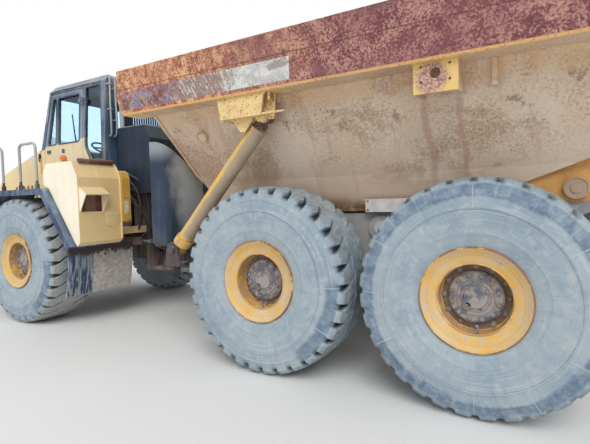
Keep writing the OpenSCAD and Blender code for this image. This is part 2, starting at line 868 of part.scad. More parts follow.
// Bed. The side outline and the cross-section are each extruded, and what they share is the hopper.
kick_x = -3490;
gate_pivot = [-3440, 2690];
gate_pivot_r = 42;
tail_x = -5550;
kick = 0.3796;
function kick_z(x) = bed_floor + (kick_x - x) * kick;
hopper_side = [
    [70, rail_top], [20, 2680], [-500, 1910], [-700, bed_floor], [kick_x, bed_floor],
    [tail_x, kick_z(tail_x)], [tail_x + 50, 2780], [-4850, rail_top]
];
hopper_section = [
    [-820, bed_floor], [820, bed_floor], [950, 1970], [1430, rail_low], [1430, rail_top],
    [-1430, rail_top], [-1430, rail_low], [-950, 1970]
];
rail_section = [[1400, rail_low - 2], [rail_half, rail_low - 2], [rail_half, rail_top], [1545, rail_top]];
rail_side = [
    [120, rail_low - 10], [225, 2960], [225, rail_top], [-4850, rail_top], [tail_x + 50, 2780],
    [tail_x + 52, rail_low - 10]
];
load_side = [
    [20, 3500], [-20, 2690], [-535, 1925], [-722, bed_floor + floor_t], [kick_x + 8, bed_floor + floor_t],
    [-6000, kick_z(-6000) + floor_t + 3], [-6000, 3500]
];
load_section = [
    [-800, bed_floor - 10], [800, bed_floor - 10], [918, 1985], [1398, 2795], [1520, rail_top + 5],
    [1520, 3400], [-1520, 3400], [-1520, rail_top + 5], [-1398, 2795], [-918, 1985]
];

// What is beyond the slanted plane that takes off the bed's lower front corners
corner = [-240, 1350, 2600];
module beyond_corner(depth) both() translate(corner) rotate([0, 123.3, 45])
    translate([-1500, -1500, depth]) cube([3000, 3000, 1500]);

module bed() {
    color(dust) difference() {
        union() {
            difference() {
                intersection() {
                    along_y(hopper_side, -1500, 1500);
                    along_x(hopper_section, tail_x - 10, 300);
                }
                beyond_corner(0);
            }
            // Sill along the floor's edge, cover on it, ring bosses and stubs of cut-off brackets
            both() {
                box([kick_x, 780, 1597], [-760, 862, 1624]);
                box([-3060, 780, 1586], [-2600, 930, 1720]);
                rod([-750, 1255, 2500], [-750, 1285, 2482], 52);
                box([-3868, 1300, 2570], [-3834, 1452, 2785]);
            }
            // Top rails
            both() intersection() {
                along_y(rail_side, 1300, 1700);
                along_x(rail_section, tail_x - 10, 300);
            }
            // Long floor beams over the frame
            both() along_y([
                [-760, frame_top + 8], [-760, bed_floor + 5], [kick_x, bed_floor + 5],
                [-4300, kick_z(-4300) + 5], [-4300, 1860], [-4000, 1700], [-3300, frame_top + 8]
            ], beam[0], beam[1]);
            // Hinge plates
            both() difference() {
                union() {
                    along_y([
                        [-3560, 1660], [-3560, 1600], [-4300, 1660], [-4520, 1660],
                        [-5150, kick_z(-5150) + 30], [-4500, kick_z(-4500) + 30]
                    ], 826, 866);
                    rod_y(hinge_x, hinge_z, 118, 826, 866);
                    rod_y(hinge_x, hinge_z, 100, 826, 880);
                }
                rod_y(hinge_x, hinge_z, hinge_r + fit, 800, 900);
            }
            // Spill guard over the front
            along_y([
                [-10, 3200], [70, 3200], [90, 3330], [560, 3560], [548, 3585], [60, 3350], [-10, 3310]
            ], -900, 900);
            // Brackets for a tailgate's arms
            both() difference() {
                union() {
                    box([-3610, 1570, 2540], [-3270, 1600, 2790]);
                    for (x = [-3610, -3298]) along_x([
                        [1300, 2560], [1571, 2540], [1571, 2790], [1400, 2790]
                    ], x, x + 28);
                }
                rod_y(gate_pivot.x, gate_pivot.y, gate_pivot_r, 1500, 1700);
                for (i = [-110, 110], j = [-60, 60])
                    rod_y(gate_pivot.x + i, gate_pivot.y + j, 11, 1500, 1700);
            }
            // Bracket of the tipping cylinder: pin plate, flared outer plate, shelf, gusset, fin and webs
            both() {
                along_y([[-1290, 2790], [-1330, 2560], [-1900, 2530], [-1930, 2790]], 1495, 1525);
                rod_y(-1761, 2586, 80, 1495, 1545);
                along_y([
                    [-1240, 2790], [-1275, 2745], [-1310, 2585], [-1815, 2575], [-1840, 2745], [-1885, 2790]
                ], 1592, 1620);
                box([-1815, 1524, 2562], [-1310, 1628, 2586]);
                along_y([[-1400, 2570], [-1690, 2570], [-1565, 2430], [-1510, 2430]], 1530, 1552);
                along_z([[-1810, 1524], [-2070, 1600], [-2070, 1618], [-1810, 1620]], 2566, 2582);
                box([-1310, 1320, 2570], [-1285, 1600, 2790]);
                box([-1905, 1400, 2700], [-1880, 1600, 2790]);
            }
        }
        difference() {
            intersection() {
                along_y(load_side, -1600, 1600);
                along_x(load_section, -6100, 400);
            }
            beyond_corner(-side_t);
        }
    }
}

// Tipping cylinders: barrel, stage and rod on one line
hoist_len = norm(hoist_high - hoist_low);
hoist_turn = atan2(hoist_high.x - hoist_low.x, hoist_high.y - hoist_low.y);

module on_hoist(side)
    translate([hoist_low.x, side * hoist_y, hoist_low.y]) rotate([0, hoist_turn, 0]) children();

module hoist_barrel(side) {
    color(cream) on_hoist(side) difference() {
        union() {
            rotate([90, 0, 0]) cylinder(h = 120, r = 80, center = true);
            translate([0, 0, 40]) cylinder(h = 70, r = 60);
            translate([0, 0, 95]) cylinder(h = 90, r = 102);
            translate([0, 0, 95]) cylinder(h = 1660, r = hoist_r);
            translate([0, 0, 1712]) cylinder(h = 45, r = hoist_r + 5);
        }
        rotate([90, 0, 0]) cylinder(h = 200, r = hoist_pin_r + fit, center = true);
        translate([0, 0, 130]) cylinder(h = 1800, r = 68 + fit);
    }
}

module hoist_stage(side) {
    color(steel) on_hoist(side) difference() {
        translate([0, 0, 136]) cylinder(h = 1684, r = 68);
        translate([0, 0, 150]) cylinder(h = 1800, r = 52 + fit);
    }
}

module hoist_rod(side) {
    color(steel) on_hoist(side) {
        translate([0, 0, 156]) cylinder(h = hoist_len - 200, r = 52);
        translate([0, 0, hoist_len]) rotate([90, 0, 0]) cylinder(h = 88, r = 74, center = true);
        translate([0, 0, hoist_len]) rotate([90, 0, 0]) cylinder(h = 100, r = 40, center = true);
    }
}

// Steering cylinders
steer_len = norm(steer_rear - steer_front);
steer_turn = atan2(steer_rear.y - steer_front.y, steer_rear.x - steer_front.x);

module on_steer(side) mirror([0, side > 0 ? 0 : 1, 0])
    translate([steer_front.x, steer_front.y, steer_z]) rotate([0, 0, steer_turn]) children();

module steer_barrel(side) {
    color(cream) on_steer(side) difference() {
        union() {
            cylinder(h = 86, r = 62, center = true);
            rotate([0, 90, 0]) translate([0, 0, 40]) cylinder(h = 60, r = 40);
            rotate([0, 90, 0]) translate([0, 0, 85]) cylinder(h = 640, r = steer_r);
        }
        cylinder(h = 200, r = 34 + fit, center = true);
        rotate([0, 90, 0]) translate([0, 0, 110]) cylinder(h = 700, r = 36 + fit);
    }
}

module steer_rod(side) {
    color(steel) on_steer(side) {
        rotate([0, 90, 0]) translate([0, 0, 400]) cylinder(h = steer_len - 440, r = 36);
        translate([steer_len, 0, 0]) cylinder(h = 86, r = 62, center = true);
        translate([steer_len, 0, 0]) cylinder(h = 96, r = 34, center = true);
    }
}

tyre(front_axle_x, 1);  // tyre_front_left
tyre(front_axle_x, -1);  // tyre_front_right
tyre(mid_axle_x, 1);  // tyre_mid_left
tyre(mid_axle_x, -1);  // tyre_mid_right
tyre(rear_axle_x, 1);  // tyre_rear_left
tyre(rear_axle_x, -1);  // tyre_rear_right
rim(front_axle_x, 1);  // rim_front_left
rim(front_axle_x, -1);  // rim_front_right
rim(mid_axle_x, 1);  // rim_mid_left
rim(mid_axle_x, -1);  // rim_mid_right
rim(rear_axle_x, 1);  // rim_rear_left
rim(rear_axle_x, -1);  // rim_rear_right
front_frame();
front_clevis();
front_spine();
front_bumper();
cab_deck();
front_axle();
engine();
hood();
grille();
front_fenders();
mud_flaps();
handrails();
cab_tub();
cab_frame();
cab_glass();
door();
door_glass();
cab_interior();
seat_base();
seat_back();
intake_box();
fuel_tank();
rear_cover();
exhaust();
lamps();
tail_lamps();
hitch();
hitch_ears();
rear_frame();
bogie_axles();
equalizer_beams();
wing_plates();
drive_line();
bed();
hoist_barrel(1);  // hoist_barrel_left
hoist_barrel(-1);  // hoist_barrel_right
hoist_stage(1);  // hoist_stage_left
hoist_stage(-1);  // hoist_stage_right
hoist_rod(1);  // hoist_rod_left
hoist_rod(-1);  // hoist_rod_right
steer_barrel(1);  // steer_barrel_left
steer_barrel(-1);  // steer_barrel_right
steer_rod(1);  // steer_rod_left
steer_rod(-1);  // steer_rod_right
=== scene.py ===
# Looks of an articulated dump truck: an old hauler of the 40 tonne class, parked with its bed down.
# All places are metres in the truck's own frame: X forwards, Y to the left, Z up from the ground.
import math

import bpy
import numpy as np
from mathutils import Matrix, Vector


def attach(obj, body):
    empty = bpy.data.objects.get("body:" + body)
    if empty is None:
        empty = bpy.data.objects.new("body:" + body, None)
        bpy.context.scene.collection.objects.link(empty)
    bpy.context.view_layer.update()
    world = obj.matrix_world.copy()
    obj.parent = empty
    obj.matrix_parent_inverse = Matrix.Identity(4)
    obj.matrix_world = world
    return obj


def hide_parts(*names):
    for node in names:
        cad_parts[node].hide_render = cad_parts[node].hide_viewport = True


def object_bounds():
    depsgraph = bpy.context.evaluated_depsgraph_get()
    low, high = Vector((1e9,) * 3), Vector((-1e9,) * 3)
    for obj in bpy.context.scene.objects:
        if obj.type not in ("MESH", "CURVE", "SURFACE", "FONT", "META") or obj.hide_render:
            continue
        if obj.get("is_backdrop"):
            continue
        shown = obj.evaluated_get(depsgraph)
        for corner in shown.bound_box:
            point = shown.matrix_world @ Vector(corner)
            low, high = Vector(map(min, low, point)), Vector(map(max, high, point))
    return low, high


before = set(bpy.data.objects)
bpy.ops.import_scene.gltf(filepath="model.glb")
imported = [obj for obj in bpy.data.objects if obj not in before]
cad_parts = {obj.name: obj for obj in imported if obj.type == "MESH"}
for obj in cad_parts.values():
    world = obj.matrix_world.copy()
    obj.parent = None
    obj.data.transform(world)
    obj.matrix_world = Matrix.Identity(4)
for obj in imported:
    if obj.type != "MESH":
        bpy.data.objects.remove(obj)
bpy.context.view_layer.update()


# Studio: a pale floor that ends in white, soft even light, and the camera behind the left rear wheel.
# The camera's place and turn were fitted to the rim ovals and the bed's rail.
def srgb(red, green, blue):
    """A colour from 0 to 255 as linear light: c / 12.92 below 0.04045, and else ((c + 0.055) / 1.055) ^ 2.4."""
    c = np.array([red, green, blue]) / 255
    return (*np.where(c < 0.04045, c / 12.92, ((c + 0.055) / 1.055) ** 2.4).tolist(), 1.0)


class Wiring:
    """Adds nodes to one tree. An input is a number, a colour, a vector or another node's output."""

    def __init__(self, tree):
        self.tree = tree

    def feed(self, node, inputs):
        """Links or sets a node's inputs."""
        for key, value in inputs.items():
            if isinstance(value, bpy.types.NodeSocket):
                self.tree.links.new(value, node.inputs[key])
            else:
                node.inputs[key].default_value = value
        return node

    def add(self, kind, inputs=None, **settings):
        """One node, with its settings and its inputs."""
        node = self.tree.nodes.new("ShaderNode" + kind)
        for key, value in settings.items():
            setattr(node, key, value)
        return self.feed(node, inputs or {})

    def math(self, operation, a, b=0.0):
        """a and b joined by one operation."""
        return self.add("Math", {0: a, 1: b}, operation=operation).outputs[0]

    def plus(self, a, b):
        """a + b."""
        return self.math("ADD", a, b)

    def minus(self, a, b):
        """a - b."""
        return self.math("SUBTRACT", a, b)

    def times(self, a, *others):
        """The product of all of them. Of masks from 0 to 1 it is what they have in common."""
        for other in others:
            a = self.math("MULTIPLY", a, other)
        return a

    def most(self, a, b):
        """The larger of a and b."""
        return self.math("MAXIMUM", a, b)

    def least(self, a, b):
        """The smaller of a and b."""
        return self.math("MINIMUM", a, b)

    def size(self, a):
        """a without its sign."""
        return self.math("ABSOLUTE", a)

    def sine(self, a):
        """The sine of a."""
        return self.math("SINE", a)

    def facing(self):
        """The way that the surface faces, a vector of length one."""
        return self.add("TexCoord").outputs["Normal"]

    def xyz(self, vector):
        """The vector's three parts."""
        return self.add("SeparateXYZ", {0: vector}).outputs

    def dot(self, a, b):
        """The sum of the products of two vectors' parts."""
        return self.add("VectorMath", {0: a, 1: b}, operation="DOT_PRODUCT").outputs["Value"]

    def apart(self, a, b):
        """How far a is from b."""
        return self.add("VectorMath", {0: a, 1: b}, operation="DISTANCE").outputs["Value"]

    def stretch(self, vector, scale):
        """The same place with its X, Y and Z counted in other steps."""
        return self.add("VectorMath", {0: vector, 1: scale}, operation="MULTIPLY").outputs[0]

    def noise(self, vector, scale, detail=5.0, roughness=0.6, distortion=0.0):
        """Cloudy noise from 0 to 1."""
        return self.add("TexNoise", {"Vector": vector, "Scale": scale, "Detail": detail,
                                     "Roughness": roughness, "Distortion": distortion}).outputs["Fac"]

    def uneven(self, value, noise, reach):
        """value + (noise - 0.5) * reach, which makes an edge wander."""
        return self.plus(value, self.times(self.minus(noise, 0.5), reach))

    def span(self, value, low, high, start=0.0, end=1.0):
        """Goes smoothly from start to end as value goes from low to high."""
        return self.add("MapRange", {"Value": value, "From Min": low, "From Max": high, "To Min": start,
                                     "To Max": end}, interpolation_type="SMOOTHSTEP").outputs["Result"]

    def mix(self, share, a, b):
        """Colour a where share is 0 and b where it is 1."""
        return self.add("Mix", {0: share, 6: a, 7: b}, data_type="RGBA").outputs[2]


def new_material(name):
    """An empty material with its wiring, its shader and a point's own place on the truck."""
    material = bpy.data.materials.new(name)
    material.use_nodes = True
    material.node_tree.nodes.clear()
    w = Wiring(material.node_tree)
    shader = w.add("BsdfPrincipled")
    w.add("OutputMaterial", {"Surface": shader.outputs[0]})
    return material, w, shader, w.add("TexCoord").outputs["Object"]


scene = bpy.context.scene
scene.view_settings.view_transform = "Standard"

FLOOR_PALE = srgb(226, 226, 224)
FLOOR_R, FLOOR_POINTS = 90.0, 64
# The floor is one round face: its points are the radius times (cos, sin) of even angles
floor_mesh = bpy.data.meshes.new("floor")
turn = np.arange(FLOOR_POINTS) * 2 * math.pi / FLOOR_POINTS
floor_mesh.from_pydata(np.stack([np.cos(turn), np.sin(turn), 0 * turn], -1) * FLOOR_R, [],
                       [tuple(range(FLOOR_POINTS))])
floor = bpy.data.objects.new("floor", floor_mesh)
scene.collection.objects.link(floor)
floor_material, w, shader, here = new_material("floor_pale")
w.feed(shader, {"Base Color": FLOOR_PALE, "Roughness": 0.9, "Specular IOR Level": 0.1})
white = w.add("Emission", {"Color": (1, 1, 1, 1), "Strength": 1.0})
far_off = w.span(w.add("VectorMath", {0: here}, operation="LENGTH").outputs["Value"], 9.0, 26.0)
seen = w.most(w.add("LightPath").outputs["Is Camera Ray"], w.add("LightPath").outputs["Is Glossy Ray"])
blend = w.add("MixShader", {0: w.times(far_off, seen), 1: shader.outputs[0], 2: white.outputs[0]})
w.add("OutputMaterial", {"Surface": blend.outputs[0]}, is_active_output=True)
floor_mesh.materials.append(floor_material)
floor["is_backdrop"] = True

SKY_LIGHT = 0.62
world = bpy.data.worlds.new("studio")
scene.world = world
world.use_nodes = True
world.node_tree.nodes.clear()
w = Wiring(world.node_tree)
rays = w.add("LightPath").outputs
seen = w.most(rays["Is Camera Ray"], w.most(rays["Is Glossy Ray"], rays["Is Transmission Ray"]))
soft = w.add("Background", {"Color": (0.93, 0.97, 1.0, 1.0), "Strength": SKY_LIGHT})
clean = w.add("Background", {"Color": (1, 1, 1, 1), "Strength": 1.0})
sky = w.add("MixShader", {0: seen, 1: soft.outputs[0], 2: clean.outputs[0]})
w.add("OutputWorld", {"Surface": sky.outputs[0]})

# Name, strength, softness in degrees, and where it comes from
for name, strength, softness, source in (("key", 1.9, 40, (-3.5, 6.0, 7.0)), ("fill", 0.7, 60, (5.0, -5.0, 5.0))):
    lamp = bpy.data.lights.new(name, "SUN")
    lamp.energy = strength
    lamp.angle = math.radians(softness)
    holder = bpy.data.objects.new(name, lamp)
    holder.rotation_euler = Vector(source).to_track_quat("Z", "Y").to_euler()
    scene.collection.objects.link(holder)

EYE = (-4.147, 5.085, 1.719)
YAW, PITCH, ROLL = (math.radians(a) for a in (29.85, -2.807, -1.514))
FOCUS_PX, PHOTO_WIDTH, SENSOR = 426.4, 590, 36.0
ahead = Vector((math.sin(YAW) * math.cos(PITCH), -math.cos(YAW) * math.cos(PITCH), math.sin(PITCH)))
level = ahead.cross(Vector((0, 0, 1))).normalized()
upright = level.cross(ahead)
right = math.cos(ROLL) * level + math.sin(ROLL) * upright
top = -math.sin(ROLL) * level + math.cos(ROLL) * upright
lens = bpy.data.cameras.new("camera")
lens.sensor_width = SENSOR
lens.lens = FOCUS_PX / PHOTO_WIDTH * SENSOR
lens.clip_end = 300
camera = bpy.data.objects.new("camera", lens)
camera.matrix_world = Matrix.Translation(EYE) @ Matrix((right, top, -ahead)).transposed().to_4x4()
scene.collection.objects.link(camera)
scene.camera = camera


# Tyres: six single earthmover tyres of black rubber, grey with dust, moulded in one piece.
# Deep grooves with a kink run in from both shoulders, and the rear pair is worn smooth at its shoulders.
def skin(rings, closed=False):
    """A shape from rings of points, as points, face corners and corner counts.

    Point j of ring i, the next point of that ring and the two that match them on ring i + 1 are one face. The first
    and the last ring get a flat end face, or meet each other where the shape is closed. Faces are turned round where
    the volume that they enclose, the sum of their corner products over six, is below zero.
    """
    rings = np.asarray(rings, float)
    n, m = rings.shape[:2]
    i = np.arange(n if closed else n - 1)[:, None]
    j = np.arange(m)[None, :]
    after = (i + 1) % n
    quads = np.stack([i * m + j, i * m + (j + 1) % m, after * m + (j + 1) % m, after * m + j], -1).reshape(-1, 4)
    points = rings.reshape(-1, 3)
    middle = points - points.mean(0)
    a, b, c, d = (middle[quads[:, k]] for k in range(4))
    volume = np.sum(a * np.cross(b, c)) + np.sum(a * np.cross(c, d))
    ends = []
    if not closed:
        ends = [np.arange(m)[::-1], np.arange((n - 1) * m, n * m)]
        for end in ends:
            p = middle[end]
            volume += np.sum(p.mean(0) * np.cross(p, np.roll(p, -1, 0)))
    if volume < 0:
        quads = quads[:, ::-1]
        ends = [end[::-1] for end in ends]
    corners = np.concatenate([quads.ravel(), *ends])
    counts = np.array([4] * len(quads) + [m] * len(ends))
    return points, corners, counts


def piece(name, shapes, material, body, slot, sharp=35, **values):
    """One object from several shapes, smooth but for edges sharper than so many degrees, riding on a body."""
    mesh = bpy.data.meshes.new(name)
    starts = np.cumsum([0] + [len(s[0]) for s in shapes])
    points = np.concatenate([s[0] for s in shapes])
    corners = np.concatenate([s[1] + start for s, start in zip(shapes, starts)])
    counts = np.concatenate([s[2] for s in shapes])
    mesh.vertices.add(len(points))
    mesh.vertices.foreach_set("co", points.ravel())
    mesh.loops.add(len(corners))
    mesh.loops.foreach_set("vertex_index", corners)
    mesh.polygons.add(len(counts))
    mesh.polygons.foreach_set("loop_start", np.cumsum(counts) - counts)
    for label, (kind, numbers) in values.items():
        mesh.attributes.new(label, kind, "POINT").data.foreach_set(
            "value" if kind == "FLOAT" else "vector", np.ravel(numbers))
    mesh.update(calc_edges=True)
    mesh.validate()
    mesh.shade_smooth()
    mesh.set_sharp_from_angle(angle=math.radians(sharp))
    mesh.materials.append(material)
    made = bpy.data.objects.new(name, mesh)
    scene.collection.objects.link(made)
    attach(made, body)
    return made


SIDES = {"left": 1, "right": -1}
AXLES = {"front": 2.600, "mid": -1.750, "rear": -3.720}
HALF_TRACK = 1.345
TYRE_R = 0.9375
PITCHES = 32
GROOVE = 0.055
# Half of the section, from the middle of the tread to the bead: distance from the middle plane and radius
wall_r = np.array([0.868, 0.852, 0.835, 0.815, 0.805, 0.800, 0.795, 0.770, 0.735, 0.705, 0.700, 0.695, 0.655,
                   0.610, 0.565, 0.525, 0.515, 0.505, 0.480, 0.455, 0.440, 0.425, 0.407])
section_y = np.concatenate([[0, 0.110, 0.235, 0.312, 0.3423], 0.372 - 0.645 * (wall_r - 0.655) ** 2, [0.317, 0.317]])
section_r = np.concatenate([[TYRE_R, TYRE_R, 0.930, 0.916, 0.880], wall_r, [0.400, 0.381]])
section_b = np.concatenate([[0], np.cumsum(np.hypot(np.diff(section_y), np.diff(section_r)))])
tread_b = np.array([0, 0.05, 0.092, 0.104, 0.110, 0.124, 0.130, 0.165, 0.20, 0.2352, 0.275, 0.3135, 0.338])
half_b = np.concatenate([tread_b, section_b[4:]])


def tyre_shape(side, centre_x, worn):
    """One tyre with its groove depths, from an angle and b, the way across the tread from its middle.

    Column lines follow the grooves: angle = (pitch + share of the pitch + shift(b)) of a turn over 32, and shift(b)
    is the groove's kinked line. A point lies on the section at b, and sinks square to it by the groove's depth.
    """
    b = np.concatenate([-half_b[:0:-1], half_b])[:, None]
    across = np.abs(b)
    # Half widths of the groove's floor and mouth, and its depth, as it runs from the middle to the shoulder
    stations = [0.0, 0.10, 0.130, 0.235, 0.275, 0.3135, 0.3605, 0.45]
    floor_half = np.interp(across, stations, [0.02, 0.02, 0.035, 0.05, 0.08, 0.11, 0.13, 0.13])
    mouth_half = np.interp(across, stations, [0.04, 0.045, 0.085, 0.11, 0.17, 0.22, 0.25, 0.25])
    share = np.concatenate([-floor_half, floor_half, mouth_half, mouth_half + 0.05, 0 * b + 0.36, 0 * b + 0.5,
                            0 * b + 0.64, 0.95 - mouth_half, 1 - mouth_half], 1)
    columns = share.shape[1]
    shift = np.interp(b, [-0.3605, -0.24, -0.20, -0.13, 0.13, 0.20, 0.24, 0.3605],
                      [-0.52, -0.46, -0.30, -0.02, -0.48, -0.20, -0.04, 0.02])
    pitch = np.repeat(np.arange(PITCHES), columns)[None, :]
    along = np.tile(share, (1, PITCHES))
    angle = 2 * math.pi * (pitch + along + shift) / PITCHES
    # The rib edges beside the middle zigzag, once to a pitch
    zigzag = 0.014 * (1 - 4 * np.abs((along % 1) - 0.5)) * np.interp(across, [0.06, 0.104, 0.130, 0.18], [0, 1, 1, 0])
    b = b + np.sign(b) * zigzag
    fade = [0.0, 0.0, 0.9, 1.0, 0.85, 0.62, 0.22, 0.0]
    if worn:
        fade = [0.0, 0.0, 0.75, 0.70, 0.36, 0.24, 0.12, 0.0]
    cross_groove = np.interp(across, [0.0, 0.105, 0.13, 0.235, 0.3135, 0.3605, 0.395, 0.43], fade)
    low_columns = np.tile(np.arange(columns) < 2, PITCHES)[None, :]
    rib_groove = np.where(np.isclose(across, 0.110) | np.isclose(across, 0.124), 0.14, 0.0)
    groove = np.maximum(np.where(low_columns, cross_groove, 0.0), rib_groove)
    # Fine raised rings on the side wall, one at the end of the grooves and two below it
    r = np.interp(np.abs(b), section_b, section_r)
    y = np.interp(np.abs(b), section_b, section_y) * np.sign(b)
    ring = sum(np.where(np.isclose(r, at), 0.003, 0.0) for at in (0.800, 0.700, 0.515))
    slope_y = np.interp(np.abs(b) + 1e-3, section_b, section_y) - np.interp(np.abs(b) - 1e-3, section_b, section_y)
    slope_r = np.interp(np.abs(b) + 1e-3, section_b, section_r) - np.interp(np.abs(b) - 1e-3, section_b, section_r)
    length = np.hypot(slope_y, slope_r)
    sink = groove * GROOVE - ring
    y = y + np.sign(b) * sink * slope_r / length
    r = r - sink * slope_y / length
    points = np.stack([centre_x + r * np.cos(angle), side * (HALF_TRACK + y), TYRE_R + r * np.sin(angle)], -1)
    polar = np.stack([np.cos(angle), np.sin(angle), b + 0 * angle], -1)
    return skin(points, closed=True), groove + 0 * angle, polar


def grain(w, shader, height, strength, distance):
    """Turns a height into small bumps on the shader."""
    bump = w.add("Bump", {"Height": height, "Strength": strength, "Distance": distance})
    w.feed(shader, {"Normal": bump.outputs[0]})


rubber, w, shader, here = new_material("dusty_rubber")
polar = w.add("Attribute", attribute_name="polar").outputs["Vector"]
groove = w.add("Attribute", attribute_name="groove").outputs["Fac"]
turn_x, turn_y, sideways = w.xyz(polar)
across = w.size(sideways)
DARK_RING_B = 0.556
axle_x = w.xyz(here)[0]
clouds = w.noise(here, 2.2, 7.0, 0.66)
blotches = w.noise(here, 13.0, 6.0, 0.7)
specks = w.noise(here, 75.0, 4.0, 0.72)
ridges = w.noise(w.stretch(polar, (1.3, 1.3, 60.0)), 1.0, 5.0, 0.7)
streaks = w.noise(w.stretch(polar, (9.0, 9.0, 5.0)), 1.0, 6.0, 0.72, 0.4)
pale = w.mix(w.span(clouds, 0.36, 0.64), srgb(144, 160, 172), srgb(164, 176, 182))
pale = w.mix(w.times(w.span(blotches, 0.50, 0.64), 0.5), pale, srgb(186, 190, 190))
pale = w.mix(w.times(w.span(ridges, 0.52, 0.66), 0.35), pale, srgb(200, 204, 202))
pale = w.mix(w.times(w.span(streaks, 0.52, 0.70), 0.5), pale, srgb(132, 147, 160))
# Where the rear tyres' shoulders are worn smooth, clean rubber shows as a blue band
rear = w.span(axle_x, -2.70, -2.76)
edge = w.uneven(across, clouds, 0.10)
band = w.times(w.span(edge, 0.345, 0.375), w.span(edge, 0.475, 0.445))
band = w.times(band, rear, w.span(streaks, 0.34, 0.56, 0.30, 0.85))
# One scuffed patch low on the back of each other tyre
low_back = w.times(w.span(w.plus(turn_x, w.times(turn_y, 0.5)), -0.93, -1.02),
                   w.times(w.span(edge, 0.375, 0.395), w.span(edge, 0.52, 0.48)))
band = w.most(band, w.times(low_back, w.minus(0.8, rear)))
cool = w.mix(w.most(band, 0.0), pale, w.mix(w.span(blotches, 0.4, 0.6), srgb(96, 114, 136), srgb(122, 140, 158)))
# Pale mould lines, twelve across each shoulder, and one dark ring on the side wall
sixth = w.size(w.sine(w.times(w.math("ARCTAN2", turn_y, turn_x), 6.0)))
mould = w.times(w.span(sixth, 0.045, 0.015), w.times(w.span(across, 0.34, 0.36), w.span(across, 0.56, 0.52)))
cool = w.mix(w.times(mould, w.span(clouds, 0.35, 0.6, 0.2, 0.65)), cool, srgb(192, 202, 208))
dark_ring = w.span(w.size(w.minus(across, DARK_RING_B)), 0.006, 0.002)
cool = w.mix(w.times(dark_ring, w.span(streaks, 0.35, 0.6, 0.2, 0.7)), cool, srgb(118, 132, 144))
cool = w.mix(w.times(w.span(specks, 0.60, 0.72), 0.6), cool, srgb(96, 110, 124))
tread = w.span(across, 0.37, 0.31)
cool = w.mix(w.times(tread, w.span(streaks, 0.38, 0.62, 0.15, 0.65)), cool, srgb(116, 120, 122))
tanned = w.times(tread, w.span(axle_x, 0.4, 0.6), 0.45)
cool = w.mix(tanned, cool, srgb(190, 184, 174))
# Black rubber and painted shade: the grooves darken with their depth
cool = w.mix(w.times(w.span(groove, 0.10, 0.85), 0.9), cool, srgb(44, 50, 58))
w.feed(shader, {"Base Color": cool, "Roughness": w.span(clouds, 0.3, 0.7, 0.95, 0.8), "Specular IOR Level": 0.2})
height = w.plus(w.times(streaks, 0.5), w.times(specks, 0.4))
height = w.plus(height, w.plus(w.times(ridges, 0.5), w.times(mould, 0.5)))
grain(w, shader, height, 0.55, 0.008)

for axle, centre_x in AXLES.items():
    for side, sign in SIDES.items():
        shape, depths, polars = tyre_shape(sign, centre_x, axle == "rear")
        tyre = piece(f"tyre_skin_{axle}_{side}", [shape], rubber, f"wheel_{axle}_{side}", "tyre", 30,
                     groove=("FLOAT", depths), polar=("FLOAT_VECTOR", polars))
        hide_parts(f"tyre_{axle}_{side}")


# Rims and hubs: pressed steel rims in faded orange-yellow, with a rusty flange, and cast hubs under dry grime.
# Twelve nuts hold each rim, twelve bolts the hub's cover. Lock rings are snapped in behind the flange.
def basis(axis):
    """The axis at length one, and two directions square to it.

    The first is its cross product with the world's axis that it leans to least, the second with the first.
    """
    axis = np.asarray(axis, float) / np.linalg.norm(axis)
    helper = np.eye(3)[np.argmin(np.abs(axis))]
    first = np.cross(axis, helper)
    first /= np.linalg.norm(first)
    return axis, first, np.cross(axis, first)


def turned(profile, centre, axis, count=40, closed=False):
    """A profile of radius and height carried round an axis: centre + height along it + radius (cos, sin)."""
    axis, first, second = basis(axis)
    radius, height = np.array(profile, float).T[:, :, None, None]
    angle = (np.arange(count) * 2 * math.pi / count)[None, :, None]
    ring = radius * (np.cos(angle) * first + np.sin(angle) * second)
    return skin(np.asarray(centre) + height * axis + ring, closed)


def hoop(radius, thick, centre, axis, count=64):
    """A round ring: a small circle, radius + thick cos and thick sin, carried round an axis."""
    small = np.arange(8) * math.pi / 4
    return turned(np.stack([radius + thick * np.cos(small), thick * np.sin(small)], 1), centre, axis, count, True)


def bolt(centre, axis, across=0.030, high=0.014):
    """A six-sided head with a chamfered top on a round washer, each a profile carried round the axis."""
    r = across / 2
    head = turned([(r, 0.003), (r, high * 0.75), (r * 0.82, high)], centre, axis, 6)
    return [turned([(r * 1.35, 0), (r * 1.35, 0.003), (r * 1.2, 0.004)], centre, axis, 14), head]


def bolt_ring(radius, count, centre, axis, across=0.030, start=0.0):
    """Bolts evenly round an axis, each at centre + radius (cos, sin) of its angle."""
    axis, first, second = basis(axis)
    shapes = []
    for angle in start + np.arange(count) * 2 * math.pi / count:
        at = np.asarray(centre) + radius * (math.cos(angle) * first + math.sin(angle) * second)
        shapes += bolt(at, axis, across)
    return shapes


def effect(name, inputs, build):
    """A shader node group. It takes a place and the named inputs, and build wires what it gives out."""
    tree = bpy.data.node_groups.new(name, "ShaderNodeTree")
    tree.interface.new_socket("Place", in_out="INPUT", socket_type="NodeSocketVector")
    for label, value in inputs.items():
        kind = "NodeSocketFloat" if isinstance(value, float) else "NodeSocketColor"
        tree.interface.new_socket(label, in_out="INPUT", socket_type=kind).default_value = value
    w = Wiring(tree)
    given = tree.nodes.new("NodeGroupInput").outputs
    results = build(w, given)
    for label, value in results.items():
        kind = "NodeSocketColor" if label == "Colour" else "NodeSocketFloat"
        tree.interface.new_socket(label, in_out="OUTPUT", socket_type=kind)
    out = tree.nodes.new("NodeGroupOutput").inputs
    for label, value in results.items():
        tree.links.new(value, out[label])
    return tree


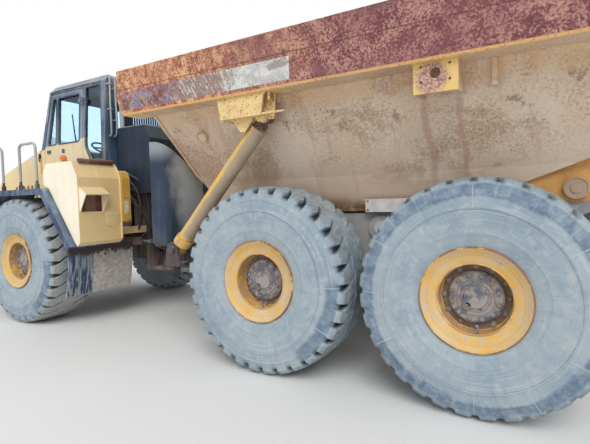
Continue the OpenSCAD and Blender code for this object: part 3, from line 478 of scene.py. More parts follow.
def weathering(w, given):
    """Old paint: faded in clouds, dusty where it faces up, streaked, with rust at edges and in specks."""
    place = given["Place"]
    clouds = w.noise(place, 1.6, 6.0, 0.6)
    spots = w.noise(place, 9.0, 6.0, 0.65)
    fine = w.noise(place, 75.0, 4.0, 0.7)
    streaks = w.noise(w.stretch(place, (9.0, 9.0, 0.9)), 1.0, 5.0, 0.6)
    upward = w.xyz(w.facing())[2]
    colour = w.mix(w.times(w.span(clouds, 0.35, 0.65), given["Fading"]), given["Paint"], given["Faded"])
    settled = w.times(w.span(upward, 0.25, 0.9), 1.3)
    dusty = w.plus(settled, w.span(w.plus(streaks, w.times(clouds, 0.6)), 0.72, 0.98))
    dusty = w.times(dusty, given["Dust share"])
    colour = w.mix(w.least(dusty, 0.95), colour, given["Dust"])
    softened = w.add("Bevel", {"Radius": 0.012}, samples=4).outputs[0]
    same = w.dot(softened, w.add("NewGeometry").outputs["Normal"])
    edge = w.times(w.span(same, 0.995, 0.90), w.span(spots, 0.42, 0.58))
    specks = w.span(w.plus(w.times(spots, 0.6), w.times(fine, 0.4)), 0.575, 0.64)
    rusty = w.least(w.times(w.plus(edge, specks), given["Rust share"]), 1.0)
    colour = w.mix(rusty, colour, w.mix(w.span(fine, 0.35, 0.65), srgb(84, 52, 42), srgb(158, 98, 66)))
    rough = w.most(given["Roughness"], w.span(w.plus(dusty, rusty), 0.1, 0.8, 0.0, 0.88))
    height = w.plus(w.times(fine, 0.35), w.times(rusty, -0.5))
    return {"Colour": colour, "Roughness": rough, "Height": height}


OLD_PAINT = effect("old_paint", {
    "Paint": (1.0,) * 4, "Faded": (1.0,) * 4, "Dust": (1.0,) * 4, "Fading": 0.5, "Dust share": 0.4,
    "Rust share": 0.3, "Roughness": 0.5}, weathering)
GREY_DUST = srgb(178, 170, 158)


def weather(w, shader, here, paint, faded, dust, dusty, rusty, rough, fading=0.5, shine=0.5, bumps=0.35,
            high=0.003):
    """Old paint on a shader, from its fresh and faded colours, its dust, and the shares of dust and rust."""
    worn = w.add("Group", {"Place": here, "Paint": paint, "Faded": faded, "Dust": dust, "Fading": fading,
                           "Dust share": dusty, "Rust share": rusty, "Roughness": rough}, node_tree=OLD_PAINT).outputs
    w.feed(shader, {"Base Color": worn["Colour"], "Roughness": worn["Roughness"], "Specular IOR Level": shine})
    grain(w, shader, worn["Height"], bumps, high)


def old_paint(name, paint, faded, dust=GREY_DUST, dusty=0.4, rusty=0.3, rough=0.5):
    """A painted or bare metal finish that has stood outdoors for years."""
    material, w, shader, here = new_material(name)
    weather(w, shader, here, paint, faded, dust, dusty, rusty, rough, fading=0.7, shine=0.35)
    return material


def dress(material, *names):
    """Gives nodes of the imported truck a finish."""
    for name in names:
        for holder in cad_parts[name].material_slots:
            holder.material = material


grimy_steel = old_paint("grimy_steel", srgb(112, 108, 112), srgb(146, 140, 138), dusty=0.35, rusty=0.55, rough=0.7)

# How far from the axle the flange, the lip of the disc's seat, the disc and the hub end
FLANGE_R, LIP_R, DISC_R, HUB_R = 0.402, 0.272, 0.2585, 0.2060
rim_paint, w, shader, here = new_material("rim_paint")
middle = [w.apart(w.stretch(here, (1, 0, 1)), (x, 0, TYRE_R)) for x in AXLES.values()]
reach = w.least(middle[0], w.least(middle[1], middle[2]))
spots = w.noise(here, 11.0, 6.0, 0.65)
fine = w.noise(here, 60.0, 5.0, 0.7)
clouds = w.noise(here, 3.0, 4.0, 0.6)
colour = w.mix(w.span(clouds, 0.38, 0.62), srgb(218, 174, 92), srgb(216, 186, 138))
colour = w.mix(w.times(w.span(spots, 0.46, 0.62), 0.7), colour, srgb(200, 180, 158))
dented = w.times(w.span(w.size(w.minus(reach, FLANGE_R)), 0.011, 0.003), 0.9)
lip = w.times(w.span(w.size(w.minus(reach, LIP_R)), 0.010, 0.003), 0.45)
rusty = w.times(w.plus(dented, lip), w.span(spots, 0.36, 0.52))
rusty = w.plus(rusty, w.span(w.plus(w.times(spots, 0.5), w.times(fine, 0.5)), 0.60, 0.66))
colour = w.mix(w.least(rusty, 0.85), colour, w.mix(fine, srgb(92, 56, 42), srgb(170, 104, 62)))
disc = w.span(reach, DISC_R + 0.0035, DISC_R - 0.0035)
grime = w.mix(w.span(spots, 0.4, 0.6), srgb(84, 70, 66), srgb(118, 102, 92))
colour = w.mix(w.times(disc, 0.85), colour, grime)
hub_share = w.span(reach, HUB_R + 0.0005, HUB_R - 0.0005)
cast = w.mix(w.span(spots, 0.38, 0.56), srgb(96, 100, 112), srgb(160, 150, 144))
colour = w.mix(hub_share, colour, cast)
w.feed(shader, {"Base Color": colour, "Roughness": w.span(spots, 0.3, 0.7, 0.5, 0.85), "Specular IOR Level": 0.35})
grain(w, shader, fine, 0.4, 0.004)
dress(rim_paint, *[f"rim_{axle}_{side}" for axle in AXLES for side in SIDES])

DISC_OUT, HUB_OUT, FLANGE_OUT = 0.176, 0.231, 0.348
for axle, centre_x in AXLES.items():
    for side, sign in SIDES.items():
        def out(distance, right=0.0, high=0.0):
            """A point on this wheel, so far out from the tyre's middle plane."""
            return (centre_x + right, sign * (HALF_TRACK + distance), TYRE_R + high)
        axis = (0, sign, 0)
        body = f"wheel_{axle}_{side}"
        rings = [hoop(0.396, 0.006, out(FLANGE_OUT - 0.001), axis), hoop(0.274, 0.008, out(0.297), axis),
                 hoop(0.352, 0.004, out(0.322), axis)]
        piece(f"rim_rings_{axle}_{side}", rings, rim_paint, body, "rim")
        fasteners = bolt_ring(0.238, 12, out(DISC_OUT), axis, 0.036)
        fasteners += bolt_ring(0.172, 12, out(HUB_OUT), axis, 0.026, math.radians(15))
        fasteners += [turned([(0.034, 0), (0.034, 0.010), (0.026, 0.012), (0.024, 0.008), (0.012, 0.008),
                              (0.010, 0.014)], out(0.228, sign * 0.062, -0.066), axis, 24)]
        fasteners += [hoop(r, 0.004, out(0.221), axis, 48) for r in (0.112, 0.140)]
        valve = turned([(0.007, 0), (0.007, 0.05), (0.010, 0.052), (0.010, 0.075), (0.006, 0.078)],
                       out(0.270, -0.02, -0.262), (0, sign * 0.5, 0.86), 12)
        piece(f"hub_bolts_{axle}_{side}", fasteners + [valve], grimy_steel, body, "frame")


# Frames and axles: beams welded from plate, and cast axles and hitch, under a crust of grease and dried mud.
# The rear frame is pale with dust beside the bogie, and dark round the centre joint.
dark_grime = old_paint("dark_grime", srgb(86, 72, 70), srgb(128, 112, 104), srgb(168, 158, 146), dusty=0.55,
                       rusty=0.5, rough=0.75)
pale_frame = old_paint("pale_frame", srgb(140, 142, 146), srgb(168, 168, 168), srgb(178, 172, 164), dusty=0.5,
                       rusty=0.25, rough=0.65)
shaft_metal = old_paint("shaft_metal", srgb(92, 88, 86), srgb(128, 118, 110), dusty=0.4, rusty=0.5, rough=0.6)
dress(dark_grime, "front_frame", "front_clevis", "front_spine", "front_bumper", "cab_deck", "front_axle",
      "engine", "hitch", "hitch_ears", "bogie_axles")
frame_paint, w, shader, here = new_material("frame_paint")
x = w.xyz(here)[0]
ahead_share = w.span(w.plus(x, w.times(w.noise(here, 3.0), 0.5)), -0.95, -0.70)
weather(w, shader, here, w.mix(ahead_share, srgb(176, 182, 188), srgb(64, 60, 64)),
        w.mix(ahead_share, srgb(200, 202, 204), srgb(98, 88, 86)), srgb(190, 186, 178), 0.45, 0.3, 0.65)
dress(frame_paint, "rear_frame")
dress(pale_frame, "equalizer_beams")
dress(shaft_metal, "drive_line")


# Bed: welded wear plate, once yellow. Its sides are under dry dust with rust specks, its rails are red with rust.
# The front of each rail holds a blank silver band, what is left of a strip of peeled paint.
RAIL_FOOT, RAIL_WELD = 2.774, 3.085
BAND_X, BAND_Z = (-2.155, 0.150), (2.838, 3.050)


def bed_finish():
    """The bed's finish, by height and place: rails, silver bands, sides, corner panels and the scraped inside."""
    material, w, shader, here = new_material("bed_dust_and_rust")
    x, y, z = w.xyz(here)
    facing = w.xyz(w.facing())
    out = w.size(y)

    def within(value, low, high, soft=0.006):
        """1 between two values and 0 outside: a smooth step up times a smooth step down."""
        return w.times(w.span(value, low - soft, low + soft), w.span(value, high + soft, high - soft))

    clouds = w.noise(here, 0.9, 6.0, 0.62)
    patches = w.noise(w.stretch(here, (1.0, 1.0, 1.5)), 1.5, 7.0, 0.66, 0.3)
    spots = w.noise(here, 5.5, 8.0, 0.7)
    grit = w.noise(here, 48.0, 5.0, 0.75)
    fine = w.noise(here, 120.0, 3.0, 0.7)
    runs = w.noise(w.stretch(here, (6.0, 2.0, 0.3)), 1.0, 5.0, 0.6, 0.3)
    # Cracks run down towards the tail
    crossing = w.dot(here, (0.86, 0.0, -0.5))
    along = w.dot(here, (-0.5, 0.0, -0.86))
    slanted = w.add("CombineXYZ", {0: w.times(crossing, 44.0), 1: w.times(along, 6.0), 2: y})
    cracked = w.noise(slanted.outputs[0], 1.0, 6.0, 0.66, 0.5)
    cracks = w.span(w.size(w.minus(cracked, 0.5)), 0.035, 0.010)
    slanted = w.add("CombineXYZ", {0: w.times(crossing, 16.0), 1: w.times(along, 7.0), 2: y})
    chipped = w.noise(slanted.outputs[0], 1.0, 6.0, 0.7, 0.9)
    # Side plates: beige dust, freckled with rust except low down
    side = w.mix(w.span(clouds, 0.36, 0.62), srgb(228, 208, 188), srgb(220, 194, 170))
    side = w.mix(w.times(w.span(patches, 0.48, 0.60), w.span(z, 1.75, 2.05, 0.25, 0.75)), side, srgb(190, 158, 134))
    freckled = w.times(w.span(z, 1.85, 2.20, 0.12, 1.0), w.span(patches, 0.36, 0.56, 0.25, 1.0))
    side = w.mix(w.times(w.span(grit, 0.53, 0.61), freckled, 0.62), side, srgb(150, 118, 100))
    side = w.mix(w.times(w.span(grit, 0.46, 0.38), freckled, 0.6), side, srgb(244, 226, 200))
    side = w.mix(w.times(w.span(runs, 0.56, 0.72), 0.35), side, srgb(184, 146, 124))
    ledge = w.times(w.span(z, 2.56, 2.72), w.span(spots, 0.32, 0.58))
    side = w.mix(w.times(ledge, 0.5), side, srgb(216, 176, 130))
    blots = w.times(w.span(spots, 0.57, 0.63), within(z, 2.40, 2.62, 0.05))
    side = w.mix(w.times(blots, 0.6), side, srgb(136, 104, 82))
    side = w.mix(w.times(w.span(z, 1.80, 1.62), w.span(spots, 0.25, 0.55)), side, srgb(128, 94, 72))
    # Two rusty runs of water below the tailgate's bracket
    wobble = w.times(w.minus(w.noise(w.stretch(here, (1, 1, 2.2)), 1.0), 0.5), 0.22)
    for run_x, broad in ((-3.30, 0.05), (-3.585, 0.035)):
        off = w.size(w.minus(w.plus(x, wobble), run_x))
        wet = w.times(w.span(off, broad, broad * 0.25), w.span(z, 2.62, 2.50))
        side = w.mix(w.times(wet, w.span(z, 1.72, 2.1, 0.25, 0.62)), side, srgb(190, 148, 136))
    corner = w.plus(x, w.times(z, -0.373))
    side = w.mix(w.times(w.span(corner, -1.20, -1.18), 0.75), side, srgb(232, 204, 156))
    crease = w.span(w.size(w.plus(corner, 1.212)), 0.012, 0.004)
    side = w.mix(w.times(crease, w.span(spots, 0.36, 0.5, 0.35, 0.9)), side, srgb(150, 100, 76))
    # Hinge plates at the tail, and the thick brackets of the tipping cylinders, kept more of their paint
    ochre = w.mix(w.span(spots, 0.40, 0.62), srgb(222, 172, 104), srgb(206, 150, 96))
    hinge = w.times(w.span(x, -3.88, -3.90), w.span(z, 2.16, 2.14),
                    w.times(w.span(out, 0.905, 0.895), w.span(out, 0.70, 0.72)))
    side = w.mix(hinge, side, ochre)
    yellow = w.mix(w.span(spots, 0.45, 0.6), srgb(238, 208, 148), srgb(226, 192, 142))
    yellow = w.mix(w.span(grit, 0.57, 0.61), yellow, srgb(128, 88, 64))
    bracket = w.times(within(x, -2.09, -1.20), within(z, 2.40, 2.80), w.span(out, 1.456, 1.462))
    inner_face = w.times(w.span(facing[0], -0.4, -0.8), w.span(spots, 0.3, 0.5, 0.3, 0.9))
    side = w.mix(bracket, side, w.mix(inner_face, yellow, srgb(170, 128, 96)))
    # The tailgate's pivot brackets: yellow rim, purple rust in the middle
    worn = w.times(within(x, -3.62, -3.26), within(z, 2.53, 2.80), w.span(out, 1.54, 1.56))
    from_pin = w.apart(w.stretch(here, (1, 0, 1)), (-3.42, 0, 2.66))
    blush = w.span(w.plus(from_pin, w.times(spots, 0.16)), 0.25, 0.16)
    purple = w.mix(w.span(grit, 0.45, 0.6), srgb(156, 112, 108), srgb(212, 180, 156))
    side = w.mix(worn, side, w.mix(blush, srgb(230, 196, 130), purple))
    # Rails: maroon rust with salmon and cream specks, and smooth purple patches where nothing flaked
    front_share = w.span(w.uneven(x, clouds, 2.0), -2.6, -0.6)
    deep = w.mix(front_share, srgb(112, 66, 72), srgb(158, 94, 80))
    bright = w.mix(front_share, srgb(196, 148, 134), srgb(230, 182, 140))
    smooth = w.span(w.noise(w.stretch(here, (0.8, 1.0, 1.1)), 1.3, 4.0, 0.55), 0.55, 0.61)
    rail = w.mix(w.span(w.plus(w.times(grit, 0.62), w.times(spots, 0.38)), 0.45, 0.58), deep, bright)
    rail = w.mix(w.times(w.span(patches, 0.44, 0.60), 0.4), rail,
                 w.mix(front_share, srgb(142, 90, 92), srgb(180, 112, 92)))
    rail = w.mix(w.times(smooth, 0.85, w.minus(1.0, front_share)), rail, srgb(124, 82, 88))
    flaked = w.times(w.span(chipped, 0.52, 0.60), front_share)
    rail = w.mix(w.times(flaked, 0.7), rail, srgb(232, 188, 144))
    rail = w.mix(w.times(w.span(chipped, 0.44, 0.39), front_share, 0.8), rail, srgb(116, 68, 68))
    weld = w.span(w.size(w.minus(z, RAIL_WELD)), 0.008, 0.003)
    rail = w.mix(w.times(weld, w.span(spots, 0.4, 0.55, 0.2, 0.7)), rail, srgb(104, 56, 54))
    # Blank silver bands on both rails, torn into rust towards the front
    in_band = w.times(w.span(x, BAND_X[0] - 0.005, BAND_X[0] + 0.005), w.span(x, BAND_X[1] + 0.05, BAND_X[1] - 0.05),
                      within(z, *BAND_Z, 0.004))
    in_band = w.times(in_band, w.span(out, 1.60, 1.64))
    silver = w.mix(w.span(spots, 0.40, 0.60), srgb(224, 222, 216), srgb(190, 186, 184))
    silver = w.mix(w.times(w.span(grit, 0.56, 0.62), 0.55), silver, srgb(116, 102, 96))
    torn = w.mix(w.span(cracked, 0.38, 0.62), srgb(202, 190, 184), srgb(158, 128, 116))
    bared = w.mix(w.span(spots, 0.42, 0.58), srgb(150, 144, 166), srgb(136, 96, 96))
    bared = w.mix(w.span(chipped, 0.46, 0.62), bared, srgb(198, 152, 126))
    torn = w.mix(w.span(w.uneven(x, patches, 1.2), -0.85, -0.45), torn, bared)
    torn = w.mix(w.times(w.span(grit, 0.55, 0.62), w.span(chipped, 0.5, 0.6)), torn, srgb(238, 214, 184))
    silver = w.mix(w.span(w.uneven(x, spots, 0.6), -1.50, -1.34), silver, torn)
    silver = w.mix(w.times(cracks, w.span(x, -1.62, -1.40, 0.1, 0.85)), silver, srgb(92, 62, 60))
    maroon = w.apart(w.stretch(here, (1.0, 0, 2.6)), (-2.015, 0, 7.79))
    maroon = w.span(w.plus(maroon, w.uneven(w.times(w.minus(grit, 0.5), 0.3), spots, 0.6)), 0.10, 0.06)
    silver = w.mix(w.times(maroon, 0.6), silver, srgb(116, 84, 84))
    rail = w.mix(in_band, rail, silver)
    rail = w.mix(w.times(w.span(z, 2.808, 2.798), w.span(grit, 0.62, 0.50)), rail, srgb(222, 172, 108))
    rail_share = w.times(w.span(z, RAIL_FOOT - 0.002, RAIL_FOOT + 0.002), w.span(out, 1.41, 1.43),
                         w.span(facing[2], -0.6, -0.4))
    colour = w.mix(rail_share, side, rail)
    # The pale covers at the foot of each side, and the tan pins of the hinges
    pale = w.times(within(x, -3.07, -2.59), w.span(z, 1.735, 1.725), w.span(out, 0.915, 0.922))
    colour = w.mix(pale, colour, w.mix(w.span(spots, 0.4, 0.62), srgb(222, 220, 218), srgb(204, 200, 194)))
    # Scraped inside: faces that look to the middle or up
    inward = w.times(facing[1], w.math("SIGN", y))
    inside = w.most(w.span(inward, -0.1, -0.3), w.span(facing[2], 0.25, 0.45))
    kept = w.times(w.span(x, -3.86, -3.88), w.times(w.span(out, 0.94, 0.93), w.span(facing[2], 0.5, 0.3)))
    inside = w.times(inside, w.span(out, 1.56, 1.54), w.minus(1.0, kept))
    scraped = w.mix(w.span(spots, 0.35, 0.65), srgb(120, 92, 78), srgb(170, 146, 124))
    scraped = w.mix(w.times(w.span(grit, 0.5, 0.65), 0.5), scraped, srgb(98, 72, 62))
    colour = w.mix(inside, colour, scraped)
    w.feed(shader, {"Base Color": colour, "Roughness": w.span(grit, 0.3, 0.7, 0.75, 0.92), "Specular IOR Level": 0.2})
    flakes = w.times(w.plus(cracked, w.plus(grit, weld)), rail_share)
    grain(w, shader, w.plus(flakes, w.plus(grit, w.times(fine, 0.4))), 0.6, 0.007)
    return material


bed_plate = bed_finish()
dress(bed_plate, "bed")
tan_steel = old_paint("tan_steel", srgb(176, 152, 130), srgb(190, 172, 152), srgb(196, 180, 160), dusty=0.4,
                      rusty=0.4, rough=0.65)
ring_paint = old_paint("ring_paint", srgb(224, 190, 136), srgb(226, 202, 162), srgb(206, 184, 156), rusty=0.5,
                       rough=0.65)
for side, sign in SIDES.items():
    axis = (0, sign, 0)
    caps = [turned([(0.092, 0), (0.092, 0.010), (0.080, 0.014), (0.074, 0.008), (0.046, 0.008), (0.042, 0.016),
                    (0.018, 0.018)], (-4.410, sign * 0.9025, 1.765), axis, 40)]
    piece(f"hinge_cap_{side}", caps, tan_steel, "bed", "frame")
    ring = [hoop(0.066, 0.008, (-0.750, sign * 1.286, 2.485), (0, sign * 0.86, -0.51), 40)]
    piece(f"boss_ring_{side}", ring, ring_paint, "bed", "bed_paint")
    screws = [b for x in (-3.035, -2.625) for z in (1.608, 1.700)
              for b in bolt((x, sign * 0.9305, z), axis, 0.020, 0.007)]
    piece(f"cover_screws_{side}", screws, dark_grime, "bed", "frame")


# Cylinders: painted steel barrels and chromed rods with forged eyes, held by pins with round caps.
# The tipping barrels are yellow where they look up and forwards and at the foot, and tan elsewhere.
HOIST_FOOT, HOIST_TOP, HOIST_Y = (-0.450, 1.190), (-1.761, 2.586), 1.430


def near(w, here, points, reach, soft=0.01):
    """1 close to any of some lines across the truck, given by X and Z: the most of a smooth step on each distance."""
    flat = w.stretch(here, (1, 0, 1))
    found = 0.0
    for x, z in points:
        away = w.apart(flat, (x, 0, z))
        found = w.most(found, w.span(away, reach + soft, reach - soft))
    return found


hoist_paint, w, shader, here = new_material("hoist_paint")
forwards = w.dot(w.facing(), (0.73, 0.0, 0.68))
clouds = w.noise(here, 3.5, 6.0, 0.65)
kept = w.span(w.uneven(forwards, clouds, 1.5), -0.15, 0.25)
kept = w.most(kept, w.times(near(w, here, [HOIST_FOOT], 0.24, 0.04), w.span(clouds, 0.35, 0.5)))
weather(w, shader, here, w.mix(kept, srgb(168, 150, 128), srgb(232, 184, 88)),
        w.mix(kept, srgb(186, 160, 128), srgb(222, 188, 128)), srgb(190, 176, 156), 0.25, 0.35, 0.55, shine=0.35)

steer_paint = old_paint("steer_paint", srgb(150, 112, 106), srgb(168, 136, 128), srgb(186, 172, 160), dusty=0.4,
                        rusty=0.5, rough=0.6)
chrome, w, shader, here = new_material("rod_chrome")
smears = w.noise(w.stretch(here, (30.0, 30.0, 4.0)), 1.0, 5.0)
grit = w.noise(here, 40.0, 5.0, 0.7)
eye = near(w, here, [HOIST_TOP, (1.030, 1.150)], 0.165)
bright = w.mix(smears, srgb(196, 196, 198), srgb(222, 222, 222))
grimy = w.mix(w.span(grit, 0.42, 0.6), srgb(72, 58, 56), srgb(140, 110, 90))
rough = w.most(w.span(smears, 0.3, 0.7, 0.12, 0.3), w.times(eye, 0.8))
w.feed(shader, {"Base Color": w.mix(eye, bright, grimy), "Roughness": rough, "Metallic": w.minus(1.0, eye)})
for side, sign in SIDES.items():
    dress(hoist_paint, f"hoist_barrel_{side}")
    dress(steer_paint, f"steer_barrel_{side}")
    dress(chrome, f"hoist_stage_{side}", f"hoist_rod_{side}", f"steer_rod_{side}")
    axis = (0, sign, 0)
    foot = (HOIST_FOOT[0], sign * (HOIST_Y + 0.079), HOIST_FOOT[1])
    caps = [turned([(0.050, 0), (0.050, 0.014), (0.042, 0.020)], foot, axis, 32)]
    caps += bolt_ring(0.028, 3, np.add(foot, (0, sign * 0.020, 0)), axis, 0.016)
    piece(f"hoist_pin_cap_{side}", caps, grimy_steel, "rear", "frame")


# Cab, hood and boxes: pressed sheet in faded cream-yellow, the cab's upper part and the door's in slate blue.
# The two colours meet on a line that falls from the door's hinges to its front edge.
cream_paint = old_paint("cream_paint", srgb(238, 208, 150), srgb(240, 222, 186), srgb(214, 190, 152), dusty=0.3,
                        rusty=0.2, rough=0.45)
navy_paint = old_paint("navy_paint", srgb(48, 66, 98), srgb(78, 98, 128), srgb(168, 182, 194), dusty=0.4,
                       rusty=0.15, rough=0.5)
dark_navy = old_paint("dark_navy", srgb(24, 38, 56), srgb(34, 50, 70), srgb(84, 94, 106), dusty=0.1, rusty=0.05)
black_trim = old_paint("black_trim", srgb(44, 46, 50), srgb(66, 68, 72), srgb(120, 116, 110), dusty=0.35,
                       rusty=0.15, rough=0.6)
rail_grey = old_paint("rail_grey", srgb(150, 156, 158), srgb(176, 178, 176), srgb(186, 180, 170), dusty=0.3,
                      rusty=0.3, rough=0.55)
rubber_seal = old_paint("rubber_seal", srgb(62, 70, 80), srgb(88, 96, 104), srgb(140, 142, 142), dusty=0.35,
                        rusty=0.0, rough=0.75)
cab_trim = old_paint("cab_trim", srgb(40, 42, 46), srgb(56, 58, 62), srgb(96, 92, 86), dusty=0.2, rusty=0.0,
                     rough=0.8)


DOOR_FRONT, DOOR_HINGE = 3.140, 2.115


def banded(name, low_paint, high_paint, line, rusty=0.15, behind=0.0):
    """Old paint in two colours that meet at a line, given as z at the front and at the rear of the door.

    Where behind isn't zero, the upper colour comes down to 2.3 m behind that x.
    """
    material, w, shader, here = new_material(name)
    x, _, z = w.xyz(here)
    rise = (line[1] - line[0]) / (DOOR_FRONT - DOOR_HINGE)
    over = w.plus(z, w.times(w.minus(x, DOOR_FRONT), rise))
    high = w.span(over, line[0] - 0.002, line[0] + 0.002)
    if behind:
        high = w.most(high, w.times(w.span(x, behind + 0.002, behind - 0.002), w.span(z, 2.298, 2.302)))
    weather(w, shader, here, w.mix(high, low_paint[0], high_paint[0]), w.mix(high, low_paint[1], high_paint[1]),
            srgb(190, 190, 186), 0.3, rusty, 0.45, shine=0.4, bumps=0.25, high=0.002)
    return material


CREAM = (srgb(238, 208, 150), srgb(240, 222, 186))
SLATE = (srgb(96, 120, 148), srgb(128, 150, 174))
DEEP_SLATE = (srgb(66, 86, 112), srgb(92, 112, 136))
door_paint = banded("door_paint", CREAM, SLATE, (2.735, 2.800))
tub_paint = banded("tub_paint", CREAM, DEEP_SLATE, (2.735, 2.735), behind=1.638)
slate_paint = banded("slate_paint", CREAM, DEEP_SLATE, (2.700, 2.800), behind=2.040)
grip_paint = banded("grip_paint", (srgb(52, 50, 56), srgb(84, 80, 80)), (srgb(156, 162, 166), srgb(184, 186, 186)),
                    (2.110, 2.110), 0.3)
box_paint, w, shader, here = new_material("box_paint")
x, y, z = w.xyz(here)
# Painted light: faces that look outward to the left are near white, a lit copy of the cream paint
lit_outward = w.span(w.xyz(w.facing())[1], 0.6, 0.9)
on_post = w.times(w.span(y, 0.953, 0.951), w.times(w.span(z, 1.408, 1.412), w.span(x, 1.205, 1.195)))
foot = w.times(on_post, w.span(w.plus(z, w.times(w.noise(here, 14.0), 0.16)), 1.60, 1.54))
mouth = w.times(w.span(x, 1.1315, 1.1325), w.span(x, 1.170, 1.169),
                w.times(w.span(y, 1.266, 1.268), w.span(y, 1.574, 1.572),
                        w.times(w.span(z, 1.646, 1.648), w.span(z, 1.884, 1.882))))
box_colours = []
for side_paint, lit_outer_paint, post_colour in ((srgb(234, 202, 142), srgb(252, 240, 216), srgb(214, 166, 66)),
                                             (srgb(238, 212, 164), srgb(250, 242, 222), srgb(224, 184, 100))):
    colour = w.mix(on_post, w.mix(lit_outward, side_paint, lit_outer_paint), post_colour)
    colour = w.mix(foot, colour, srgb(74, 62, 64))
    box_colours.append(w.mix(mouth, colour, srgb(96, 58, 48)))
weather(w, shader, here, *box_colours, srgb(222, 204, 176), 0.2, 0.15, 0.45, bumps=0.3)
dress(box_paint, "intake_box")
dress(cream_paint, "hood", "fuel_tank")
dress(door_paint, "door")
dress(tub_paint, "cab_tub")
dress(slate_paint, "cab_frame")
dress(navy_paint, "front_fenders")
dress(dark_navy, "rear_cover")
dress(black_trim, "grille")
dress(grip_paint, "handrails")
dress(rail_grey, "exhaust")
dress(cab_trim, "cab_interior")


# Windows: sheets of pale, lightly hazed glass, held in the cab's sides by a round seal of grey rubber.
# Each seal is one closed bar laid on the wall along its pane's rounded outline.
pane, w, shader, here = new_material("cab_pane")
haze = w.noise(here, 2.5, 5.0, 0.6)
w.feed(shader, {"Base Color": w.mix(haze, srgb(190, 214, 236), srgb(212, 228, 242)),
                "Roughness": w.span(haze, 0.5, 0.8, 0.02, 0.12), "Transmission Weight": 1.0, "IOR": 1.3})
dress(pane, "cab_glass", "door_glass")


def flowing(points, steps=8):
    """A smooth line through points: between two of them, the cubic of Catmull and Rom from the four around."""
    p = np.asarray(points, float)
    p = np.concatenate([2 * p[:1] - p[1:2], p, 2 * p[-1:] - p[-2:-1]])
    t = (np.arange(steps) / steps)[None, :, None]
    a, b, c, d = (p[k:len(p) - 3 + k, None] for k in range(4))
    curve = 0.5 * (2 * b + (c - a) * t + (2 * a - 5 * b + 4 * c - d) * t ** 2 + (3 * b - a - 3 * c + d) * t ** 3)
    return np.concatenate([curve.reshape(-1, 3), p[-2:-1]])


def rounded(corners, radius, steps=5):
    """A closed outline whose corners are rounded: (1 - t)^2 A + 2 t (1 - t) corner + t^2 B at each."""
    p = np.asarray(corners, float)
    before, after = np.roll(p, 1, 0) - p, np.roll(p, -1, 0) - p
    a = p + before / np.linalg.norm(before, axis=1, keepdims=True) * radius
    b = p + after / np.linalg.norm(after, axis=1, keepdims=True) * radius
    t = np.linspace(0, 1, steps)[None, :, None]
    return ((1 - t) ** 2 * a[:, None] + 2 * t * (1 - t) * p[:, None] + t ** 2 * b[:, None]).reshape(-1, 3)


def tube(path, radius, count=10, closed=False, flat=1.0):
    """A round bar along a line: at each point a ring of first cos + second sin, square to the way it runs."""
    path = np.asarray(path, float)
    way = np.roll(path, -1, 0) - np.roll(path, 1, 0) if closed else np.gradient(path, axis=0)
    way /= np.linalg.norm(way, axis=1, keepdims=True)
    normal = np.linalg.svd(path - path.mean(0))[2][-1]
    first = np.cross(way, normal)
    first /= np.linalg.norm(first, axis=1, keepdims=True)
    second = np.cross(way, first)
    angle = (np.arange(count) * 2 * math.pi / count)[None, :, None]
    ring = np.cos(angle) * first[:, None] + flat * np.sin(angle) * second[:, None]
    return skin(path[:, None] + radius * ring, closed)


def slab(outline, across, cut=0.002):
    """A flat plate: an outline carried along a vector, its two faces drawn in towards the mean by 1.4 cuts."""
    outline, across = np.asarray(outline, float), np.asarray(across, float)
    inwards = outline.mean(0) - outline
    inner = outline + inwards / np.linalg.norm(inwards, axis=1, keepdims=True) * cut * 1.4
    step = across / np.linalg.norm(across) * cut
    return skin([inner, outline + step, outline + across - step, inner + across])


def box(low, high, cut=0.004):
    """A box with all its edges cut: a rectangle with its corners cut off, carried upwards as a slab."""
    (x0, y0, z0), (x1, y1, z1) = low, high
    outline = [(x0 + cut, y0, z0), (x1 - cut, y0, z0), (x1, y0 + cut, z0), (x1, y1 - cut, z0), (x1 - cut, y1, z0),
               (x0 + cut, y1, z0), (x0, y1 - cut, z0), (x0, y0 + cut, z0)]
    return slab(outline, (0, 0, z1 - z0), cut)


WALL_Y, WALL_BEND, WALL_LEAN = 0.850, 2.750, 0.0674


def wall_y(z):
    """Where the cab's side is: straight up to the bend, then drawn in by its lean for each metre of height."""
    return WALL_Y - np.maximum(0, np.asarray(z, float) - WALL_BEND) * WALL_LEAN


def on_wall(outline, sign, proud=0.002):
    """Points given by X and Z, laid on one side of the cab: Y is the wall's at that height, and a little more."""
    x, z = np.array(outline, float).T
    return np.stack([x, sign * (wall_y(z) + proud), z], -1)


def seal(outline, sign, body, name):
    """The rubber seal round a pane of the cab's side: a flattened bar along the pane's rounded outline."""
    loop = rounded(on_wall(outline, sign), 0.045)
    return piece(name, [tube(loop, 0.013, 8, closed=True, flat=0.8)], rubber_seal, body, "dark_trim")


DOOR_PANES = {"main": [(2.190, 2.760), (2.760, 2.760), (2.760, 3.520), (2.190, 3.520)],
              "quarter": [(2.810, 2.760), (3.045, 2.760), (2.900, 3.520), (2.810, 3.520)]}
REAR_PANE = [(1.640, 2.440), (1.925, 2.440), (2.045, 2.670), (2.045, 3.590), (1.680, 3.590)]
RIGHT_PANE = [(2.130, 2.730), (3.080, 2.730), (2.925, 3.580), (2.130, 3.580)]
for label, outline in DOOR_PANES.items():
    seal(outline, 1, "door", f"door_seal_{label}")
for side, sign in SIDES.items():
    seal(REAR_PANE, sign, "front", f"rear_seal_{side}")
seal(RIGHT_PANE, -1, "front", "side_seal_right")


